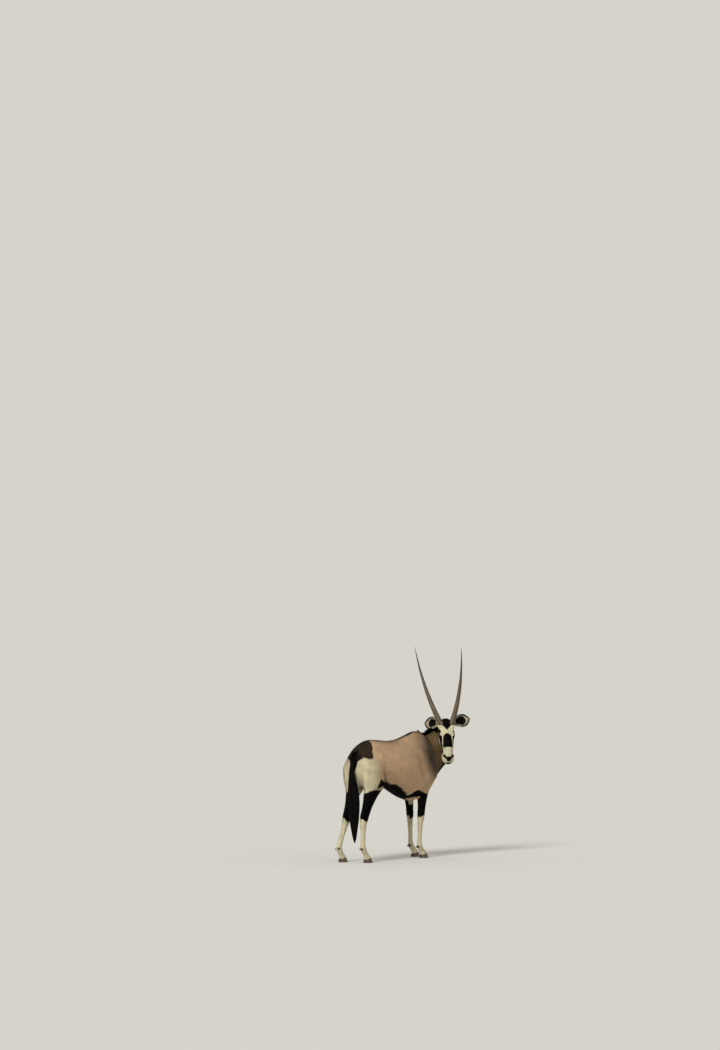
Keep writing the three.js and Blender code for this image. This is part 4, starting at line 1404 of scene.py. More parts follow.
@dataclass(frozen=True)
class HairFinish:
    """Long hair of the tail: coarse, straight, a little glossy, black with a slightly lighter tip."""

    name: str = "tail_hair"
    root: str = "#030203"
    tip: str = "#0b0807"
    roughness: float = 0.5
    gloss: float = 0.1

    def material(self) -> Material:
        """Returns the material, which shades from the root's colour to the tip's."""
        matter = Matter(self.name, {"Roughness": self.roughness, "Specular IOR Level": self.gloss})
        colour = matter.mixed(matter.attribute("along"), self.root, self.tip)
        matter.feed("Base Color", matter.scaled(colour, matter.attribute("tone")))
        return matter.made


@dataclass(frozen=True)
class Tail:
    """The tail: a bony dock inside, and long black hair that bellies out below it and gathers at the tip."""

    line: Line3 = (
        (-548, 0, 1036), (-598, -1, 1020), (-628, -4, 970), (-642, -12, 880), (-646, -20, 780), (-644, -27, 690),
        (-640, -32, 560), (-636, -36, 400), (-633, -38, 280), (-632, -40, 185),
    )
    dock_radii: tuple[float, ...] = (30.0, 27.0, 22.0, 18.0, 13.0)
    envelope: Line2 = (
        (185, 4), (215, 15), (308, 30), (400, 41), (500, 51), (588, 55), (682, 48), (775, 36), (870, 25), (970, 22),
        (1020, 20),
    )
    locks: int = 2500
    steps: int = 10
    width: float = 4.2
    lock_top: float = 1000.0
    top_spread: float = 430.0
    lock_end: float = 185.0
    tip_rise: float = 330.0
    shortest: float = 200.0
    mass_reach: Pair = (960.0, 215.0)
    mass_share: float = 0.62
    core_sides: int = 14

    def middle(self, height: Array) -> Array:
        """Returns the middle of the tail at each height."""
        line = np.array(self.line)[::-1]
        return np.stack([np.interp(height, line[:, 2], line[:, i]) for i in range(3)], -1)

    def tube(self, middles: Array, radii: Array) -> tuple[Array, Array]:
        """Closes a tube round some middles.

        Args:
            middles: the middle line.
            radii: the radius at each middle.

        Returns:
            The tube's points and its triangles.
        """
        run = unit(np.gradient(middles, axis=0))
        side = unit(np.cross(run, (0.0, 1.0, 0.0)))
        out = np.cross(side, run)
        turn = round_turn(self.core_sides)
        ring = np.cos(turn)[None, :, None] * side[:, None] + np.sin(turn)[None, :, None] * out[:, None]
        points = (middles[:, None] + ring * np.asarray(radii)[:, None, None]).reshape(-1, 3)
        n, count = self.core_sides, len(middles)
        faces = []
        for k in range(count - 1):
            for j in range(n):
                a, b = k * n + j, k * n + (j + 1) % n
                faces += [(a, b, b + n), (a, b + n, a + n)]
        faces += [(len(points), (j + 1) % n, j) for j in range(n)]
        last = (count - 1) * n
        faces += [(len(points) + 1, last + j, last + (j + 1) % n) for j in range(n)]
        return np.concatenate([points, middles[:1], middles[-1:]]), np.array(faces)

    def core(self) -> tuple[Array, Array]:
        """Returns the dock's own tube."""
        count = len(self.dock_radii)
        return self.tube(np.array(self.line[:count]), np.array(self.dock_radii))

    def build(self, seed: int) -> list[Object]:
        """Grows the tail's hair.

        Args:
            seed: the random seed.

        Returns:
            The inner mass of hair and the outer locks.
        """
        high, low = self.mass_reach
        heights = np.linspace(high, low, 18)
        inner = self.mass_share * MARKS.along(self.envelope, heights)
        points, faces = self.tube(self.middle(heights), inner)
        mass = made_mesh("tail_mass", STANCE.to_row(points), [faces])
        share = (high - points[:, 2]) / (high - low)
        give(mass.data, "along", np.clip(share, 0, 1) * 0.5)
        rng = np.random.default_rng(seed)
        top = self.lock_top - self.top_spread * rng.random(self.locks) ** 1.1
        end = np.minimum(self.lock_end + self.tip_rise * rng.random(self.locks) ** 2.2, top - self.shortest)
        angle = rng.uniform(0.0, math.tau, self.locks)
        reach = 0.55 + 0.45 * np.sqrt(rng.random(self.locks))
        t = np.linspace(0.0, 1.0, self.steps)
        z = top[:, None] + (end - top)[:, None] * t
        bend = angle[:, None] + 0.5 * (rng.random(self.locks)[:, None] - 0.5) * t
        edge = MARKS.along(self.envelope, z)
        radius, start = edge * reach[:, None], edge * 0.5
        radius = start + (radius - start) * ease(0.0, 0.3, t)
        radius *= 1.0 + 0.07 * np.sin(t * 9.0 + angle[:, None] * 3.0)
        offset = np.stack([np.cos(bend), np.sin(bend), np.zeros_like(bend)], -1)
        paths = self.middle(z) + offset * radius[:, :, None]
        width = self.width * rng.uniform(0.6, 1.3, self.locks)
        uv = 0.02 + 0.95 * rng.random((self.locks, 2))
        locks = strands("tail_locks", paths, offset[:, 0], width, 0.35, uv)
        for piece in (mass, locks):
            give(piece.data, "tone", 1.0 + 0.12 * rng.normal(size=len(piece.data.vertices)))
        return [mass, locks]


TAIL = Tail()


@dataclass(frozen=True)
class Fringe:
    """A growth of longer hairs: how many, how long and wide, how they stand and bend, whether all are black."""

    name: str
    hairs: int
    length: float
    width: float
    stand: float
    curl: float
    dark: bool = False
    steps: int = 5

    def build(self, roots: Roots, ahead: Array, seed: int, share: Array | float = 1.0) -> Object:
        """Grows the fringe.

        Args:
            roots: where it grows.
            ahead: the way that each hair points.
            seed: the random seed.
            share: how long each hair is, as a share of the fringe's length.

        Returns:
            The piece, with its hairs' marks.
        """
        rng = np.random.default_rng(seed)
        count = len(roots.points)
        ahead = unit(ahead + 0.16 * rng.normal(size=(count, 3)))
        first = unit(roots.normals * self.stand + ahead * (1.0 - self.stand))
        later = unit(first + ahead * self.curl)
        length = self.length * share * rng.uniform(0.7, 1.2, count)
        t = np.linspace(0.0, 1.0, self.steps)[None, :, None]
        path = first[:, None] * t * (1 - 0.5 * t) + later[:, None] * 0.5 * t * t
        paths = roots.points[:, None] - roots.normals[:, None] * 1.2 + path * length[:, None, None]
        width = self.width * rng.uniform(0.7, 1.2, count)
        piece = strands(self.name, paths, roots.normals + 0.3 * ahead, width, 0.3, roots.uv)
        each = len(piece.data.vertices) // count
        marks = MARKS.mix(roots.patch, 2.0)
        marks[:, 0] = np.maximum(marks[:, 0], float(self.dark))
        give(piece.data, "mark", np.repeat(marks, each, axis=0))
        give(piece.data, "tone", np.repeat(1.0 + 0.1 * rng.normal(size=count), each))
        return piece


# Horns, eyes, lashes and hooves.


def from_tree(piece: Object, tree: NodeTree, values: dict[str, Any]) -> Object:
    """Runs a Geometry Nodes tree on a piece and keeps its plain mesh.

    Args:
        piece: the object to run it on.
        tree: the tree.
        values: for each named input, its value.

    Returns:
        The piece.
    """
    modifier = piece.modifiers.new("made", "NODES")
    modifier.node_group = tree
    for item in tree.interface.items_tree:
        if item.item_type == "SOCKET" and item.in_out == "INPUT" and item.name in values:
            modifier[item.identifier] = values[item.name]
    return evaluated(piece)


def new_tree(name: str, inputs: dict[str, str]) -> tuple[NodeTree, Node]:
    """Makes an empty Geometry Nodes tree.

    Args:
        name: its name.
        inputs: for each named input, its socket type.

    Returns:
        The tree, and the node that gives its inputs.
    """
    tree = bpy.data.node_groups.new(name, "GeometryNodeTree")
    tree.interface.new_socket("Geometry", in_out="INPUT", socket_type="NodeSocketGeometry")
    for label, kind in inputs.items():
        tree.interface.new_socket(label, in_out="INPUT", socket_type=kind)
    tree.interface.new_socket("Geometry", in_out="OUTPUT", socket_type="NodeSocketGeometry")
    return tree, add(tree, "NodeGroupInput")


def polyline(name: str, points: Array) -> Object:
    """Returns an object of vertices joined in a row by edges, from places in the body's frame."""
    mesh = bpy.data.meshes.new(name)
    mesh.from_pydata(STANCE.to_row(points).tolist(), [(i, i + 1) for i in range(len(points) - 1)], [])
    return placed(name, mesh)


@dataclass(frozen=True)
class HornFinish:
    """Horn sheath: keratin, grown in rings, dry and satin, polished towards the tip by rubbing."""

    base: str = "#57462a"
    middle: str = "#4b3d25"
    tip: str = "#241d16"
    groove: str = "#2a2219"
    roughness: float = 0.42

    def material(self) -> Material:
        """Returns the material, which reads the along and ring attributes."""
        matter = Matter("horn_keratin", {"Roughness": self.roughness})
        ramp = add(matter.tree, "ShaderNodeValToRGB", {"Fac": matter.attribute("along")})
        steps = ramp.color_ramp.elements
        steps[0].color, steps[1].color = linear(self.base), linear(self.tip)
        steps.new(0.45).color = linear(self.middle)
        # Darker in the grooves between the rings.
        groove_darkening = matter.mixed(matter.attribute("ring"), ramp.outputs[0], self.groove)
        # Fine fibres about 1 mm apart run the length of the horn.
        fibres = matter.noise(1.0, 4.0, matter.stretched((900.0, 900.0, 26.0)))
        cloud = matter.ranged(matter.noise(38.0, 5.0), (0.3, 0.7), (0.72, 1.25))
        lines = matter.ranged(fibres, (0.3, 0.7), (0.8, 1.15))
        matter.feed("Base Color", matter.scaled(groove_darkening, matter.product(cloud, lines)))
        matter.bump(fibres, 0.3, 0.0006)
        return matter.made


@dataclass(frozen=True)
class Horn:
    """A long straight horn, a little splayed and swept back, ringed over its lower part."""

    base: Vec = (2.0, 56.0, -20.0)
    length: float = 857.0
    sunk: float = 30.0
    base_radius: float = 25.6
    tip_radius: float = 1.5
    lean: Pair = (5.0, 12.0)
    splay: Pair = (23.0, 3.5)
    rings: float = 27.0
    ringed_share: float = 0.64
    ring_height: float = 0.085
    sides: int = 40
    stations: int = 640

    def path(self, side: float) -> Array:
        """Draws the horn's middle line.

        Args:
            side: 1 for the left one, -1 for the right one.

        Returns:
            The line's places, in the body's frame.
        """
        share = np.linspace(0.0, 1.0, 80)
        splay = np.radians(self.splay[0] + (self.splay[1] - self.splay[0]) * share**0.7)
        lean = np.radians(self.lean[0] + (self.lean[1] - self.lean[0]) * share)
        way = unit(np.stack([-np.cos(lean), np.tan(side * splay), -np.sin(lean)], 1))
        steps = way[1:] * self.length / (len(share) - 1)
        start = np.array((self.base[0], self.base[1] * side, self.base[2])) - way[0] * self.sunk
        first = start + way[0] * self.sunk
        line = np.concatenate([[start], [first], first + np.cumsum(steps, 0)])
        return STANCE.from_head(line)

    def tree(self) -> NodeTree:
        """Returns the tree that clothes a line in a ringed horn."""
        tree, given = new_tree("ringed_horn", {
            "Rings": "NodeSocketFloat", "Ringed Share": "NodeSocketFloat", "Ring Height": "NodeSocketFloat",
            "Base Radius": "NodeSocketFloat", "Tip Radius": "NodeSocketFloat", "Sides": "NodeSocketInt",
            "Stations": "NodeSocketInt", "Seed": "NodeSocketFloat", "Material": "NodeSocketMaterial",
        })
        ask = given.outputs

        def maths(operation: str, *terms: Any) -> NodeSocket:
            """Returns the outcome of a sum on numbers or sockets."""
            return add(tree, "ShaderNodeMath", dict(enumerate(terms)), operation=operation).outputs[0]

        line = add(tree, "GeometryNodeMeshToCurve", {0: ask["Geometry"]})
        fine = add(tree, "GeometryNodeResampleCurve", {"Curve": line.outputs[0], "Count": ask["Stations"]})
        factor = add(tree, "GeometryNodeSplineParameter").outputs["Factor"]
        taper = maths("POWER", factor, 1.13)
        size = maths("ADD", ask["Base Radius"], maths("MULTIPLY", taper, maths("SUBTRACT", ask["Tip Radius"],
                                                                              ask["Base Radius"])))
        phase = maths("MULTIPLY", maths("POWER", maths("DIVIDE", factor, ask["Ringed Share"]), 0.86),
                      maths("MULTIPLY", ask["Rings"], math.tau))
        wobble = add(tree, "ShaderNodeTexNoise", {"W": maths("MULTIPLY", factor, 31.0), "Scale": 1.0},
                     noise_dimensions="1D").outputs[0]
        swell = maths("ADD", maths("MULTIPLY", maths("COSINE", maths("ADD", phase, maths("MULTIPLY", wobble, 2.4))),
                                   -0.5), 0.5)
        crest = maths("POWER", swell, 0.6)
        fade = add(tree, "ShaderNodeMapRange", {"Value": factor, 1: maths("MULTIPLY", ask["Ringed Share"], 0.72),
                                                2: ask["Ringed Share"], 3: 1.0, 4: 0.0},
                   interpolation_type="SMOOTHSTEP").outputs[0]
        ridge = maths("MULTIPLY", maths("MULTIPLY", crest, fade), ask["Ring Height"])
        sized = add(tree, "GeometryNodeSetCurveRadius",
                    {"Curve": fine.outputs[0], "Radius": maths("MULTIPLY", size, maths("ADD", ridge, 1.0))})
        along = add(tree, "GeometryNodeStoreNamedAttribute",
                    {"Geometry": sized.outputs[0], "Name": "along", "Value": factor}, data_type="FLOAT", domain="POINT")
        # How much darker each place is, in the grooves between the rings and fading out with them.
        groove_darkening = maths("MULTIPLY", maths("MULTIPLY", maths("SUBTRACT", 1.0, crest), fade), 0.75)
        ring = add(tree, "GeometryNodeStoreNamedAttribute",
                   {"Geometry": along.outputs[0], "Name": "ring", "Value": groove_darkening}, data_type="FLOAT", domain="POINT")
        circle = add(tree, "GeometryNodeCurvePrimitiveCircle", {"Resolution": ask["Sides"], "Radius": 1.0})
        body = add(tree, "GeometryNodeCurveToMesh",
                   {"Curve": ring.outputs[0], "Profile Curve": circle.outputs[0], "Fill Caps": True})
        if "Scale" in body.inputs:
            tree.links.new(add(tree, "GeometryNodeInputRadius").outputs[0], body.inputs["Scale"])
        lumps = add(tree, "ShaderNodeTexNoise", {"Scale": 46.0, "Detail": 3.0, "W": ask["Seed"]},
                    noise_dimensions="4D").outputs[0]
        away = add(tree, "ShaderNodeVectorMath",
                   {0: add(tree, "GeometryNodeInputNormal").outputs[0],
                    "Scale": maths("MULTIPLY", maths("SUBTRACT", lumps, 0.5), maths("MULTIPLY", size, 0.06))},
                   operation="SCALE")
        moved = add(tree, "GeometryNodeSetPosition", {"Geometry": body.outputs[0], "Offset": away.outputs[0]})
        shaded = add(tree, "GeometryNodeSetShadeSmooth", {0: moved.outputs[0]})
        whole = add(tree, "GeometryNodeRealizeInstances", {0: shaded.outputs[0]})
        done = add(tree, "GeometryNodeSetMaterial", {"Geometry": whole.outputs[0], "Material": ask["Material"]})
        add(tree, "NodeGroupOutput", {0: done.outputs[0]})
        return tree

    def build(self, side: str, tree: NodeTree, material: Material) -> Object:
        """Makes the horn of one side.

        Args:
            side: left or right.
            tree: the tree that clothes a line.
            material: the horn's finish.

        Returns:
            The piece.
        """
        piece = polyline("ringed_horn_" + side, self.path(SIDES[side]))
        from_tree(piece, tree, {
            "Rings": self.rings, "Ringed Share": self.ringed_share, "Ring Height": self.ring_height,
            "Base Radius": self.base_radius / 1000.0, "Tip Radius": self.tip_radius / 1000.0, "Sides": self.sides,
            "Stations": self.stations, "Seed": 3.0 + SIDES[side], "Material": material,
        })
        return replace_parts(dress(piece, material), "horn_" + side)


@dataclass(frozen=True)
class EyeFinish:
    """A wet eye: clear cornea, with its own low index, over a dark brown iris with a wide level pupil."""

    iris: str = "#2a170c"
    rim: str = "#0c0705"
    pupil: str = "#020203"
    roughness: float = 0.06
    cornea_index: float = 1.376

    def material(self) -> Material:
        """Returns the material, which reads the pupil and iris attributes."""
        matter = Matter("wet_eye", {
            "Roughness": self.roughness, "Specular IOR Level": 0.0, "Coat Weight": 1.0, "Coat Roughness": 0.02,
            "Coat IOR": self.cornea_index,
        })
        rim = matter.mixed(matter.ranged(matter.attribute("iris"), (0.75, 1.0)), self.iris, self.rim)
        fibres = matter.ranged(matter.noise(700.0, 3.0), (0.3, 0.7), (0.6, 1.5))
        hole = matter.ranged(matter.attribute("pupil"), (0.92, 1.06))
        matter.feed("Base Color", matter.mixed(hole, self.pupil, matter.scaled(rim, fibres)))
        return matter.made


@dataclass(frozen=True)
class LidFinish:
    """Bare skin of the lids, also used on the lashes: black, finely pebbled, moist."""

    name: str = "bare_skin"
    colour: str = "#0c0908"
    light: str = "#1a1412"
    roughness: float = 0.5
    pebble: float = 1.1

    def material(self) -> Material:
        """Returns the material, with pebbles 1.1 mm across."""
        matter = Matter(self.name, {"Roughness": self.roughness})
        cells = add(matter.tree, "ShaderNodeTexVoronoi", {"Vector": matter.place, "Scale": 1000.0 / self.pebble})
        gap = cells.outputs["Distance"]
        matter.feed("Base Color", matter.mixed(gap, self.light, self.colour))
        matter.bump(gap, 0.4, 0.0004, invert=True)
        return matter.made


@dataclass(frozen=True)
class Eye:
    """An eye in its socket, with lids round an almond opening and lashes on the upper lid."""

    radius: float = 20.6
    gaze: Vec = (0.2, 0.9, 0.38)
    opening: Pair = (17.0, 10.5)
    cornea: float = 1.6
    cornea_degrees: float = 34.0
    iris: float = 11.5
    pupil: Pair = (6.6, 3.4)
    lid_reach: float = 22.4
    lid_width: float = 4.4
    lid_height: float = 2.6
    lashes: int = 46
    lash_length: float = 13.0
    rings: int = 44
    spokes: int = 56

    def axes(self, side: str) -> Array:
        """Works out the eye's axes.

        Args:
            side: left or right.

        Returns:
            Rows in the head's frame: along the lids, across them, the gaze.
        """
        gaze = unit(np.array(self.gaze) * (1.0, SIDES[side], 1.0))
        along = unit(np.array((1.0, 0.0, -0.12)) - gaze[0] * gaze)
        along = unit(along - (along @ gaze) * gaze)
        across = np.cross(gaze, along)
        return np.array([along, across * np.sign(across[2]), gaze])

    def middle(self, side: str) -> Array:
        """Returns the eyeball's middle in the head's frame."""
        return mirrored([STANCE.eye], SIDES[side])[0]

    def ball(self, side: str) -> Object:
        """Makes the eyeball with the bulge of its cornea.

        Args:
            side: left or right.

        Returns:
            The piece, with its iris and pupil as attributes.
        """
        tilt = np.linspace(0.0, math.pi, self.rings + 1)[1:-1]
        turn = round_turn(self.spokes)
        bulge = self.cornea * np.cos(np.clip(tilt / math.radians(self.cornea_degrees), 0, 1) * math.pi / 2)
        radius = self.radius + bulge
        local = np.stack([
            np.outer(radius * np.sin(tilt), np.cos(turn)),
            np.outer(radius * np.sin(tilt), np.sin(turn)),
            np.repeat((radius * np.cos(tilt))[:, None], self.spokes, 1),
        ], -1).reshape(-1, 3)
        local = np.concatenate([local, [(0, 0, self.radius + self.cornea), (0, 0, -self.radius)]])
        n = self.spokes
        grid = np.array([
            (k * n + j, (k + 1) * n + j, (k + 1) * n + (j + 1) % n, k * n + (j + 1) % n)
            for k in range(self.rings - 2)
            for j in range(n)
        ])
        last = (self.rings - 2) * n
        caps = np.array(
            [(len(local) - 2, j, (j + 1) % n) for j in range(n)]
            + [(len(local) - 1, last + (j + 1) % n, last + j) for j in range(n)]
        )
        axes = self.axes(side)
        points = STANCE.from_head(local @ axes + self.middle(side))
        if np.linalg.det(axes) < 0:
            grid, caps = grid[:, ::-1], caps[:, ::-1]
        piece = made_mesh("eyeball_" + side, STANCE.to_row(points), [grid, caps])
        behind = local[:, 2] < 0
        wide, high = self.pupil
        give(piece.data, "iris", np.linalg.norm(local[:, :2], axis=1) / self.iris + behind)
        give(piece.data, "pupil", np.hypot(local[:, 0] / wide, local[:, 1] / high) + 9.0 * behind)
        return piece

    def lid_line(self, side: str, count: int) -> tuple[Array, Array, Array]:
        """The edge of the lids.

        Args:
            side: left or right.
            count: how many places on the edge.

        Returns:
            Places on the edge, the way away from the opening and the way out of the eye, in the head's frame.
        """
        turn = round_turn(count)
        u = self.opening[0] * np.cos(turn)
        v = self.opening[1] * np.sign(np.sin(turn)) * np.abs(np.sin(turn)) ** 1.15
        v = np.where(v < 0, v * 0.8, v)
        axes = self.axes(side)
        out = np.sqrt(np.maximum(self.lid_reach**2 - u**2 - v**2, 1.0))
        local = np.stack([u, v, out], 1)
        normal = unit(local)
        away = unit(np.stack([u / self.opening[0] ** 2, v / self.opening[1] ** 2, np.zeros(count)], 1))
        away = laid(away, normal)
        return local @ axes + self.middle(side), away @ axes, normal @ axes

    def lids(self, side: str) -> Object:
        """Makes the two lids' bare rims as one soft ring.

        Args:
            side: left or right.

        Returns:
            The piece.
        """
        count, sides = 72, 12
        line, away, out = self.lid_line(side, count)
        turn = round_turn(sides)
        wide = np.cos(turn)[None, :, None] * self.lid_width / 2.0 * away[:, None]
        high = np.sin(turn)[None, :, None] * self.lid_height / 2.0 * out[:, None]
        points = (line + away * self.lid_width * 0.42)[:, None] + wide + high
        faces = np.array([
            (k * sides + j, k * sides + (j + 1) % sides,
             (k + 1) % count * sides + (j + 1) % sides, (k + 1) % count * sides + j)
            for k in range(count)
            for j in range(sides)
        ])
        if np.linalg.det(self.axes(side)) > 0:
            faces = faces[:, ::-1]
        return made_mesh("lids_" + side, STANCE.to_row(STANCE.from_head(points.reshape(-1, 3))), [faces])

    def lash_points(self, side: str) -> tuple[Array, Array]:
        """Sets out the upper lid's lashes.

        Args:
            side: left or right.

        Returns:
            Where they stand and the way that each points, in the body's frame.
        """
        line, away, out = self.lid_line(side, self.lashes * 2 + 8)
        upper = slice(4, self.lashes + 4)
        places = line[upper] + away[upper] * self.lid_width * 0.5 + out[upper] * self.lid_height * 0.3
        ways = unit(out[upper] * 0.8 + away[upper] * 0.75 + np.array((0.25, 0.0, 0.0)))
        return STANCE.from_head(places), ways @ STANCE.head_axes()


@dataclass(frozen=True)
class Bristles:
    """Stiff single hairs set one by one: the lashes."""

    radius: float = 0.34
    seed: int = 5

    def tree(self) -> NodeTree:
        """Returns the tree that stands a thin cone on each vertex, along its way attribute."""
        tree, given = new_tree("bristles", {
            "Length": "NodeSocketFloat", "Radius": "NodeSocketFloat", "Seed": "NodeSocketInt",
            "Material": "NodeSocketMaterial",
        })
        ask = given.outputs
        spots = add(tree, "GeometryNodeMeshToPoints", {"Mesh": ask["Geometry"]})
        cone = add(tree, "GeometryNodeMeshCone",
                   {"Vertices": 5, "Side Segments": 3, "Radius Top": 0.00004, "Radius Bottom": ask["Radius"],
                    "Depth": ask["Length"]})
        way = add(tree, "GeometryNodeInputNamedAttribute", {"Name": "way"}, data_type="FLOAT_VECTOR")
        turn = add(tree, "FunctionNodeAlignRotationToVector", {"Vector": way.outputs[0]}, axis="Z")
        size = add(tree, "FunctionNodeRandomValue", {"Min": 0.65, "Max": 1.1, "Seed": ask["Seed"]}, data_type="FLOAT")
        size.inputs[2].default_value, size.inputs[3].default_value = 0.65, 1.1
        stood = add(tree, "GeometryNodeInstanceOnPoints",
                    {"Points": spots.outputs[0], "Instance": cone.outputs[0], "Rotation": turn.outputs[0],
                     "Scale": size.outputs[1]})
        whole = add(tree, "GeometryNodeRealizeInstances", {0: stood.outputs[0]})
        done = add(tree, "GeometryNodeSetMaterial", {"Geometry": whole.outputs[0], "Material": ask["Material"]})
        add(tree, "NodeGroupOutput", {0: done.outputs[0]})
        return tree

    def build(self, name: str, points: Array, ways: Array, length: float, tree: NodeTree,
              material: Material) -> Object:
        """Sets one growth of bristles.

        Args:
            name: the piece's name.
            points: where they stand, in the body's frame.
            ways: the way that each points.
            length: how long they are.
            tree: the tree that makes them.
            material: their finish.

        Returns:
            The piece.
        """
        piece = polyline(name, points)
        way = piece.data.attributes.new("way", "FLOAT_VECTOR", "POINT")
        way.data.foreach_set("vector", ways.astype(np.float32).ravel())
        from_tree(piece, tree, {"Length": length / 1000.0, "Radius": self.radius / 1000.0, "Seed": self.seed,
                                "Material": material})
        return dress(piece, material)


@dataclass(frozen=True)
class HoofFinish:
    """Hoof horn: dark keratin with fine upright fibres, dusty low down. Its rings of growth are in the mesh."""

    colour: str = "#3a3029"
    dust: str = "#8b7a63"
    roughness: float = 0.55

    def material(self) -> Material:
        """Returns the material, dusty towards the floor."""
        matter = Matter("hoof_keratin", {"Roughness": self.roughness})
        height = add(matter.tree, "ShaderNodeSeparateXYZ", {0: matter.place}).outputs["Z"]
        dusty = matter.product(matter.ranged(height, (0.0, 0.05), (0.55, 0.08)), matter.noise(70.0, 5.0))
        matter.feed("Base Color", matter.mixed(dusty, self.colour, self.dust))
        # Fibres 0.8 mm apart, upright.
        matter.bump(matter.noise(1.0, at=matter.stretched((1200.0, 1200.0, 60.0))), 0.35, 0.0005)
        return matter.made


@dataclass(frozen=True)
class Hooves:
    """A foot's two claws and its two dewclaws, rounded from the solids and ringed by growth."""

    voxel: float = 2.2
    rounds: int = 5
    ring_gap: float = 5.2
    ring_height: float = 0.32
    sole: float = 2.0
    dewclaw: float = 0.7

    def build(self, foot: str, material: Material) -> Object:
        """Makes one foot's claws and dewclaws as one piece.

        Args:
            foot: the leg and its side.
            material: the hooves' finish.

        Returns:
            The piece.
        """
        nodes = [f"{foot}_{kind}_{place}" for kind in ("claw", "dewclaw") for place in ("inner", "outer")]
        points, faces, owners = copy_of(nodes)
        for number in (2, 3):
            own = np.unique(faces[owners == number])
            root = points[own[points[own, 2] > np.quantile(points[own, 2], 0.75)]].mean(0)
            points[own] = root + (points[own] - root) * self.dewclaw
        piece = made_mesh(foot + "_hooves", points, [faces])
        mesh = regridded(piece, self.voxel)
        flat = points_of(mesh) * 1000.0
        round_ = links_of(mesh).smoothed(flat, self.rounds)
        put_points(mesh, round_ / 1000.0)
        out = normals_of(mesh)
        wall = ease(0.2, 0.6, 1.0 - np.abs(out[:, 2]))
        ahead = ease(0.0, 1.0, out[:, 0])
        phase = (round_[:, 2] + 0.30 * round_[:, 0] * ahead) / self.ring_gap * math.tau
        ring = self.ring_height * np.sin(phase + 0.8 * ripple(round_, 30.0, 21)) * wall
        round_ = round_ + out * ring[:, None]
        low = ease(6.0, self.sole, flat[:, 2])
        round_[:, 2] = np.maximum(round_[:, 2] * (1 - low) + flat[:, 2] * low, 0.05)
        put_points(mesh, round_ / 1000.0)
        smooth(mesh)
        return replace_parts(dress(piece, material), *nodes)


# The studio.


@dataclass(frozen=True)
class Studio:
    """A plain pale floor, one soft light and the camera of the picture."""

    camera_way: Pair = (0.777, 0.629)
    camera_side: float = -0.3178
    camera_distance: float = 50.435
    middle_ahead: float = 0.435
    camera_height: float = 3.4
    camera_pitch: float = -0.28
    scale: float = 107.0
    frame_height: float = 1050.0
    sensor: float = 36.0
    floor_radius: float = 160.0
    floor_sides: int = 96
    backdrop: str = "#d6d3cb"
    sun_strength: float = 2.4
    sun_azimuth: float = 283.0
    sun_elevation: float = 36.0
    sun_width: float = 16.0

    def camera(self) -> None:
        """Sets the camera where the picture was taken from."""
        shift = STANCE.shift() / 1000.0
        way = np.array((*self.camera_way, 0.0))
        way /= np.linalg.norm(way)
        right = np.array((way[1], -way[0], 0.0))
        place = right * self.camera_side - way * self.camera_distance + shift
        data = bpy.data.cameras.new("camera")
        data.sensor_width = self.sensor
        data.lens = self.scale * (self.camera_distance - self.middle_ahead) / self.frame_height * self.sensor
        data.clip_start, data.clip_end = 0.1, 500.0
        holder = placed("camera", data)
        holder.location = (place[0], place[1], self.camera_height)
        heading = math.atan2(way[1], way[0]) - math.pi / 2.0
        holder.rotation_euler = (math.pi / 2.0 + math.radians(self.camera_pitch), 0.0, heading)
        bpy.context.scene.camera = holder

    def sun(self) -> float:
        """Adds one wide soft light, and returns how bright it makes a white floor."""
        data = bpy.data.lights.new("key", "SUN")
        data.energy, data.angle = self.sun_strength, math.radians(self.sun_width)
        turn, rise = math.radians(self.sun_azimuth), math.radians(self.sun_elevation)
        holder = placed("key", data)
        holder.location = (0.0, 0.0, 6.0)
        holder.rotation_euler = (math.pi / 2.0 - rise, 0.0, turn)
        return self.sun_strength * math.sin(rise) / math.pi

    def build(self) -> None:
        """Makes the light, the camera, and a floor whose lit colour is that of the backdrop."""
        backdrop = np.array(linear(self.backdrop))
        turn = round_turn(self.floor_sides)
        edge = np.stack([np.cos(turn), np.sin(turn), 0.0 * turn], 1) * self.floor_radius
        floor = made_mesh("floor", edge, [np.arange(self.floor_sides)[None]], smooth=False)
        lit = backdrop / (backdrop + self.sun())
        uniform = {"Base Color": (*lit[:3], 1.0), "Roughness": 1.0, "Specular IOR Level": 0.0}
        floor.data.materials.append(Matter("painted_floor", uniform).made)
        world = bpy.data.worlds.new("studio")
        bpy.context.scene.world = world
        world.use_nodes = True
        world.node_tree.nodes["Background"].inputs["Color"].default_value = backdrop.tolist()
        bpy.context.scene.view_settings.view_transform = "Standard"
        self.camera()


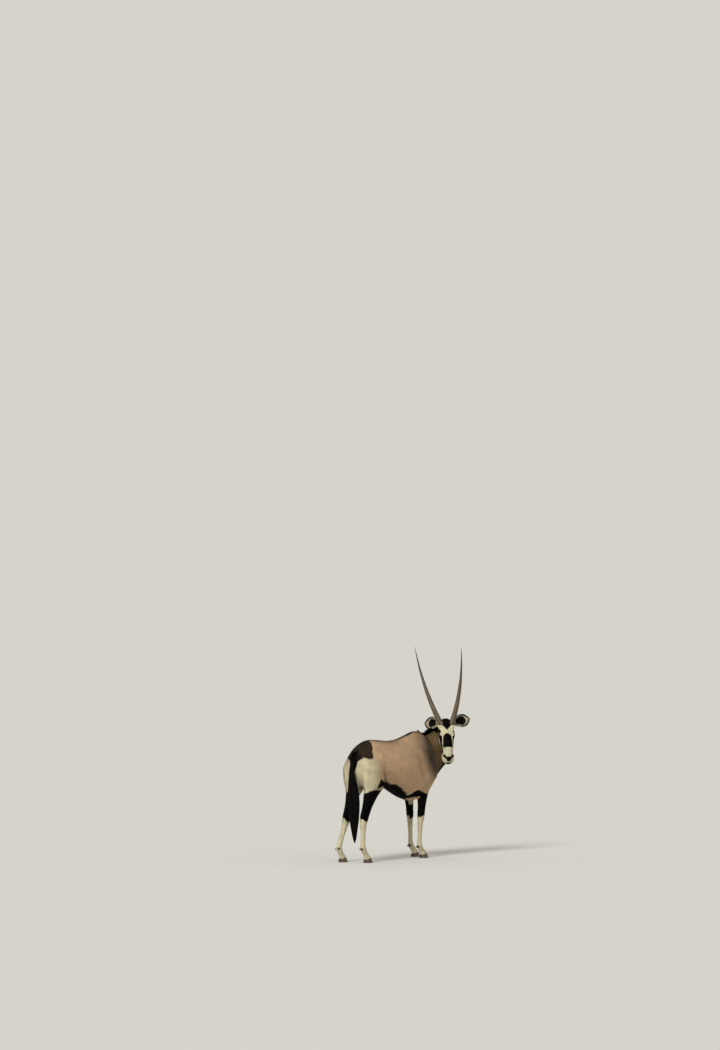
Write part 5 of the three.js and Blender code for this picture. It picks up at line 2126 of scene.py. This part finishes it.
def hair_pieces(pelt: Pelt, coat: Material) -> None:
    """Grows the short coat, the mane and the ears' fringes.

    Args:
        pelt: the skin to root them in.
        coat: the coat's material.
    """
    for number, stretch in enumerate(COAT):
        dress(stretch.build(pelt, COAT_SEED + number), coat)
    crest = MARKS.crest(pelt.middles)
    chosen = (crest < 13.0) & (pelt.faces_on("neck") | pelt.faces_on("torso"))
    mane = Fringe("mane", 4400, 20.0, 1.65, 0.5, 0.4, dark=True)
    roots = pelt.roots(chosen, mane.hairs, MANE_SEED)
    share = 0.35 + 0.65 * ease(250.0, 470.0, roots.points[:, 0])
    back = np.tile((-0.95, 0.22, 0.1), (len(roots.points), 1))
    dress(mane.build(roots, back, MANE_SEED + 1, share), coat)
    for side in SIDES:
        faces = pelt.faces_on("ear", side)
        rim = EAR.rim(pelt.middles, side)
        normals = unit(pelt.whole.normals[pelt.triangles].mean(1))
        inner = EAR.inside(normals, side) > 0.2
        fringe = Fringe("ear_fringe_" + side, 700, 18.0, 1.4, 0.35, 0.5)
        roots = pelt.roots(faces & inner & (rim > 0.74) & (rim < 0.98), fringe.hairs, EAR_SEED)
        axes = EAR.axes(side) @ STANCE.head_axes()
        local = (roots.points - STANCE.from_head(mirrored([EAR.base], SIDES[side]))) @ axes.T
        ahead = axes[0] * 0.7 - axes[1] * np.sign(local[:, 1:2]) * 0.45 + axes[2] * 0.3
        dress(fringe.build(roots, ahead, EAR_SEED + 1), coat)


def main() -> None:
    """Builds the gemsbok and its studio, piece by piece."""
    logging.basicConfig(level=logging.INFO, format="%(name)s: %(message)s")
    Studio().build()
    coat, bare = CoatFinish().material(), LidFinish().material()
    build = Skin()
    skin = build.build()
    pelt = Pelt(skin, build)
    give(skin.data, "mark", MARKS.mix(pelt.whole, build.mark_edge))
    # The tone holds painted shade on the shoulder and along the neck's fold.
    give(skin.data, "tone", MARKS.tone(pelt.whole) * build.shade)
    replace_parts(dress(skin, coat), *[n for n in build.nodes() if n != "tail"])
    hair_pieces(pelt, coat)
    hair = HairFinish().material()
    _, locks = (dress(piece, hair) for piece in TAIL.build(TAIL_SEED))
    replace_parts(locks, "tail")
    horn, horn_tree = HornFinish().material(), Horn().tree()
    bristles = Bristles()
    bristle_tree = bristles.tree()
    eye, wet = Eye(), EyeFinish().material()
    for side in SIDES:
        Horn().build(side, horn_tree, horn)
        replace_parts(dress(eye.ball(side), wet), "eye_" + side)
        dress(eye.lids(side), bare)
        points, ways = eye.lash_points(side)
        bristles.build("lashes_" + side, points, ways, eye.lash_length, bristle_tree, bare)
    hoof = HoofFinish().material()
    for leg in ("foreleg", "hindleg"):
        for side in SIDES:
            Hooves().build(f"{leg}_{side}", hoof)


if __name__ == "__main__":
    main()
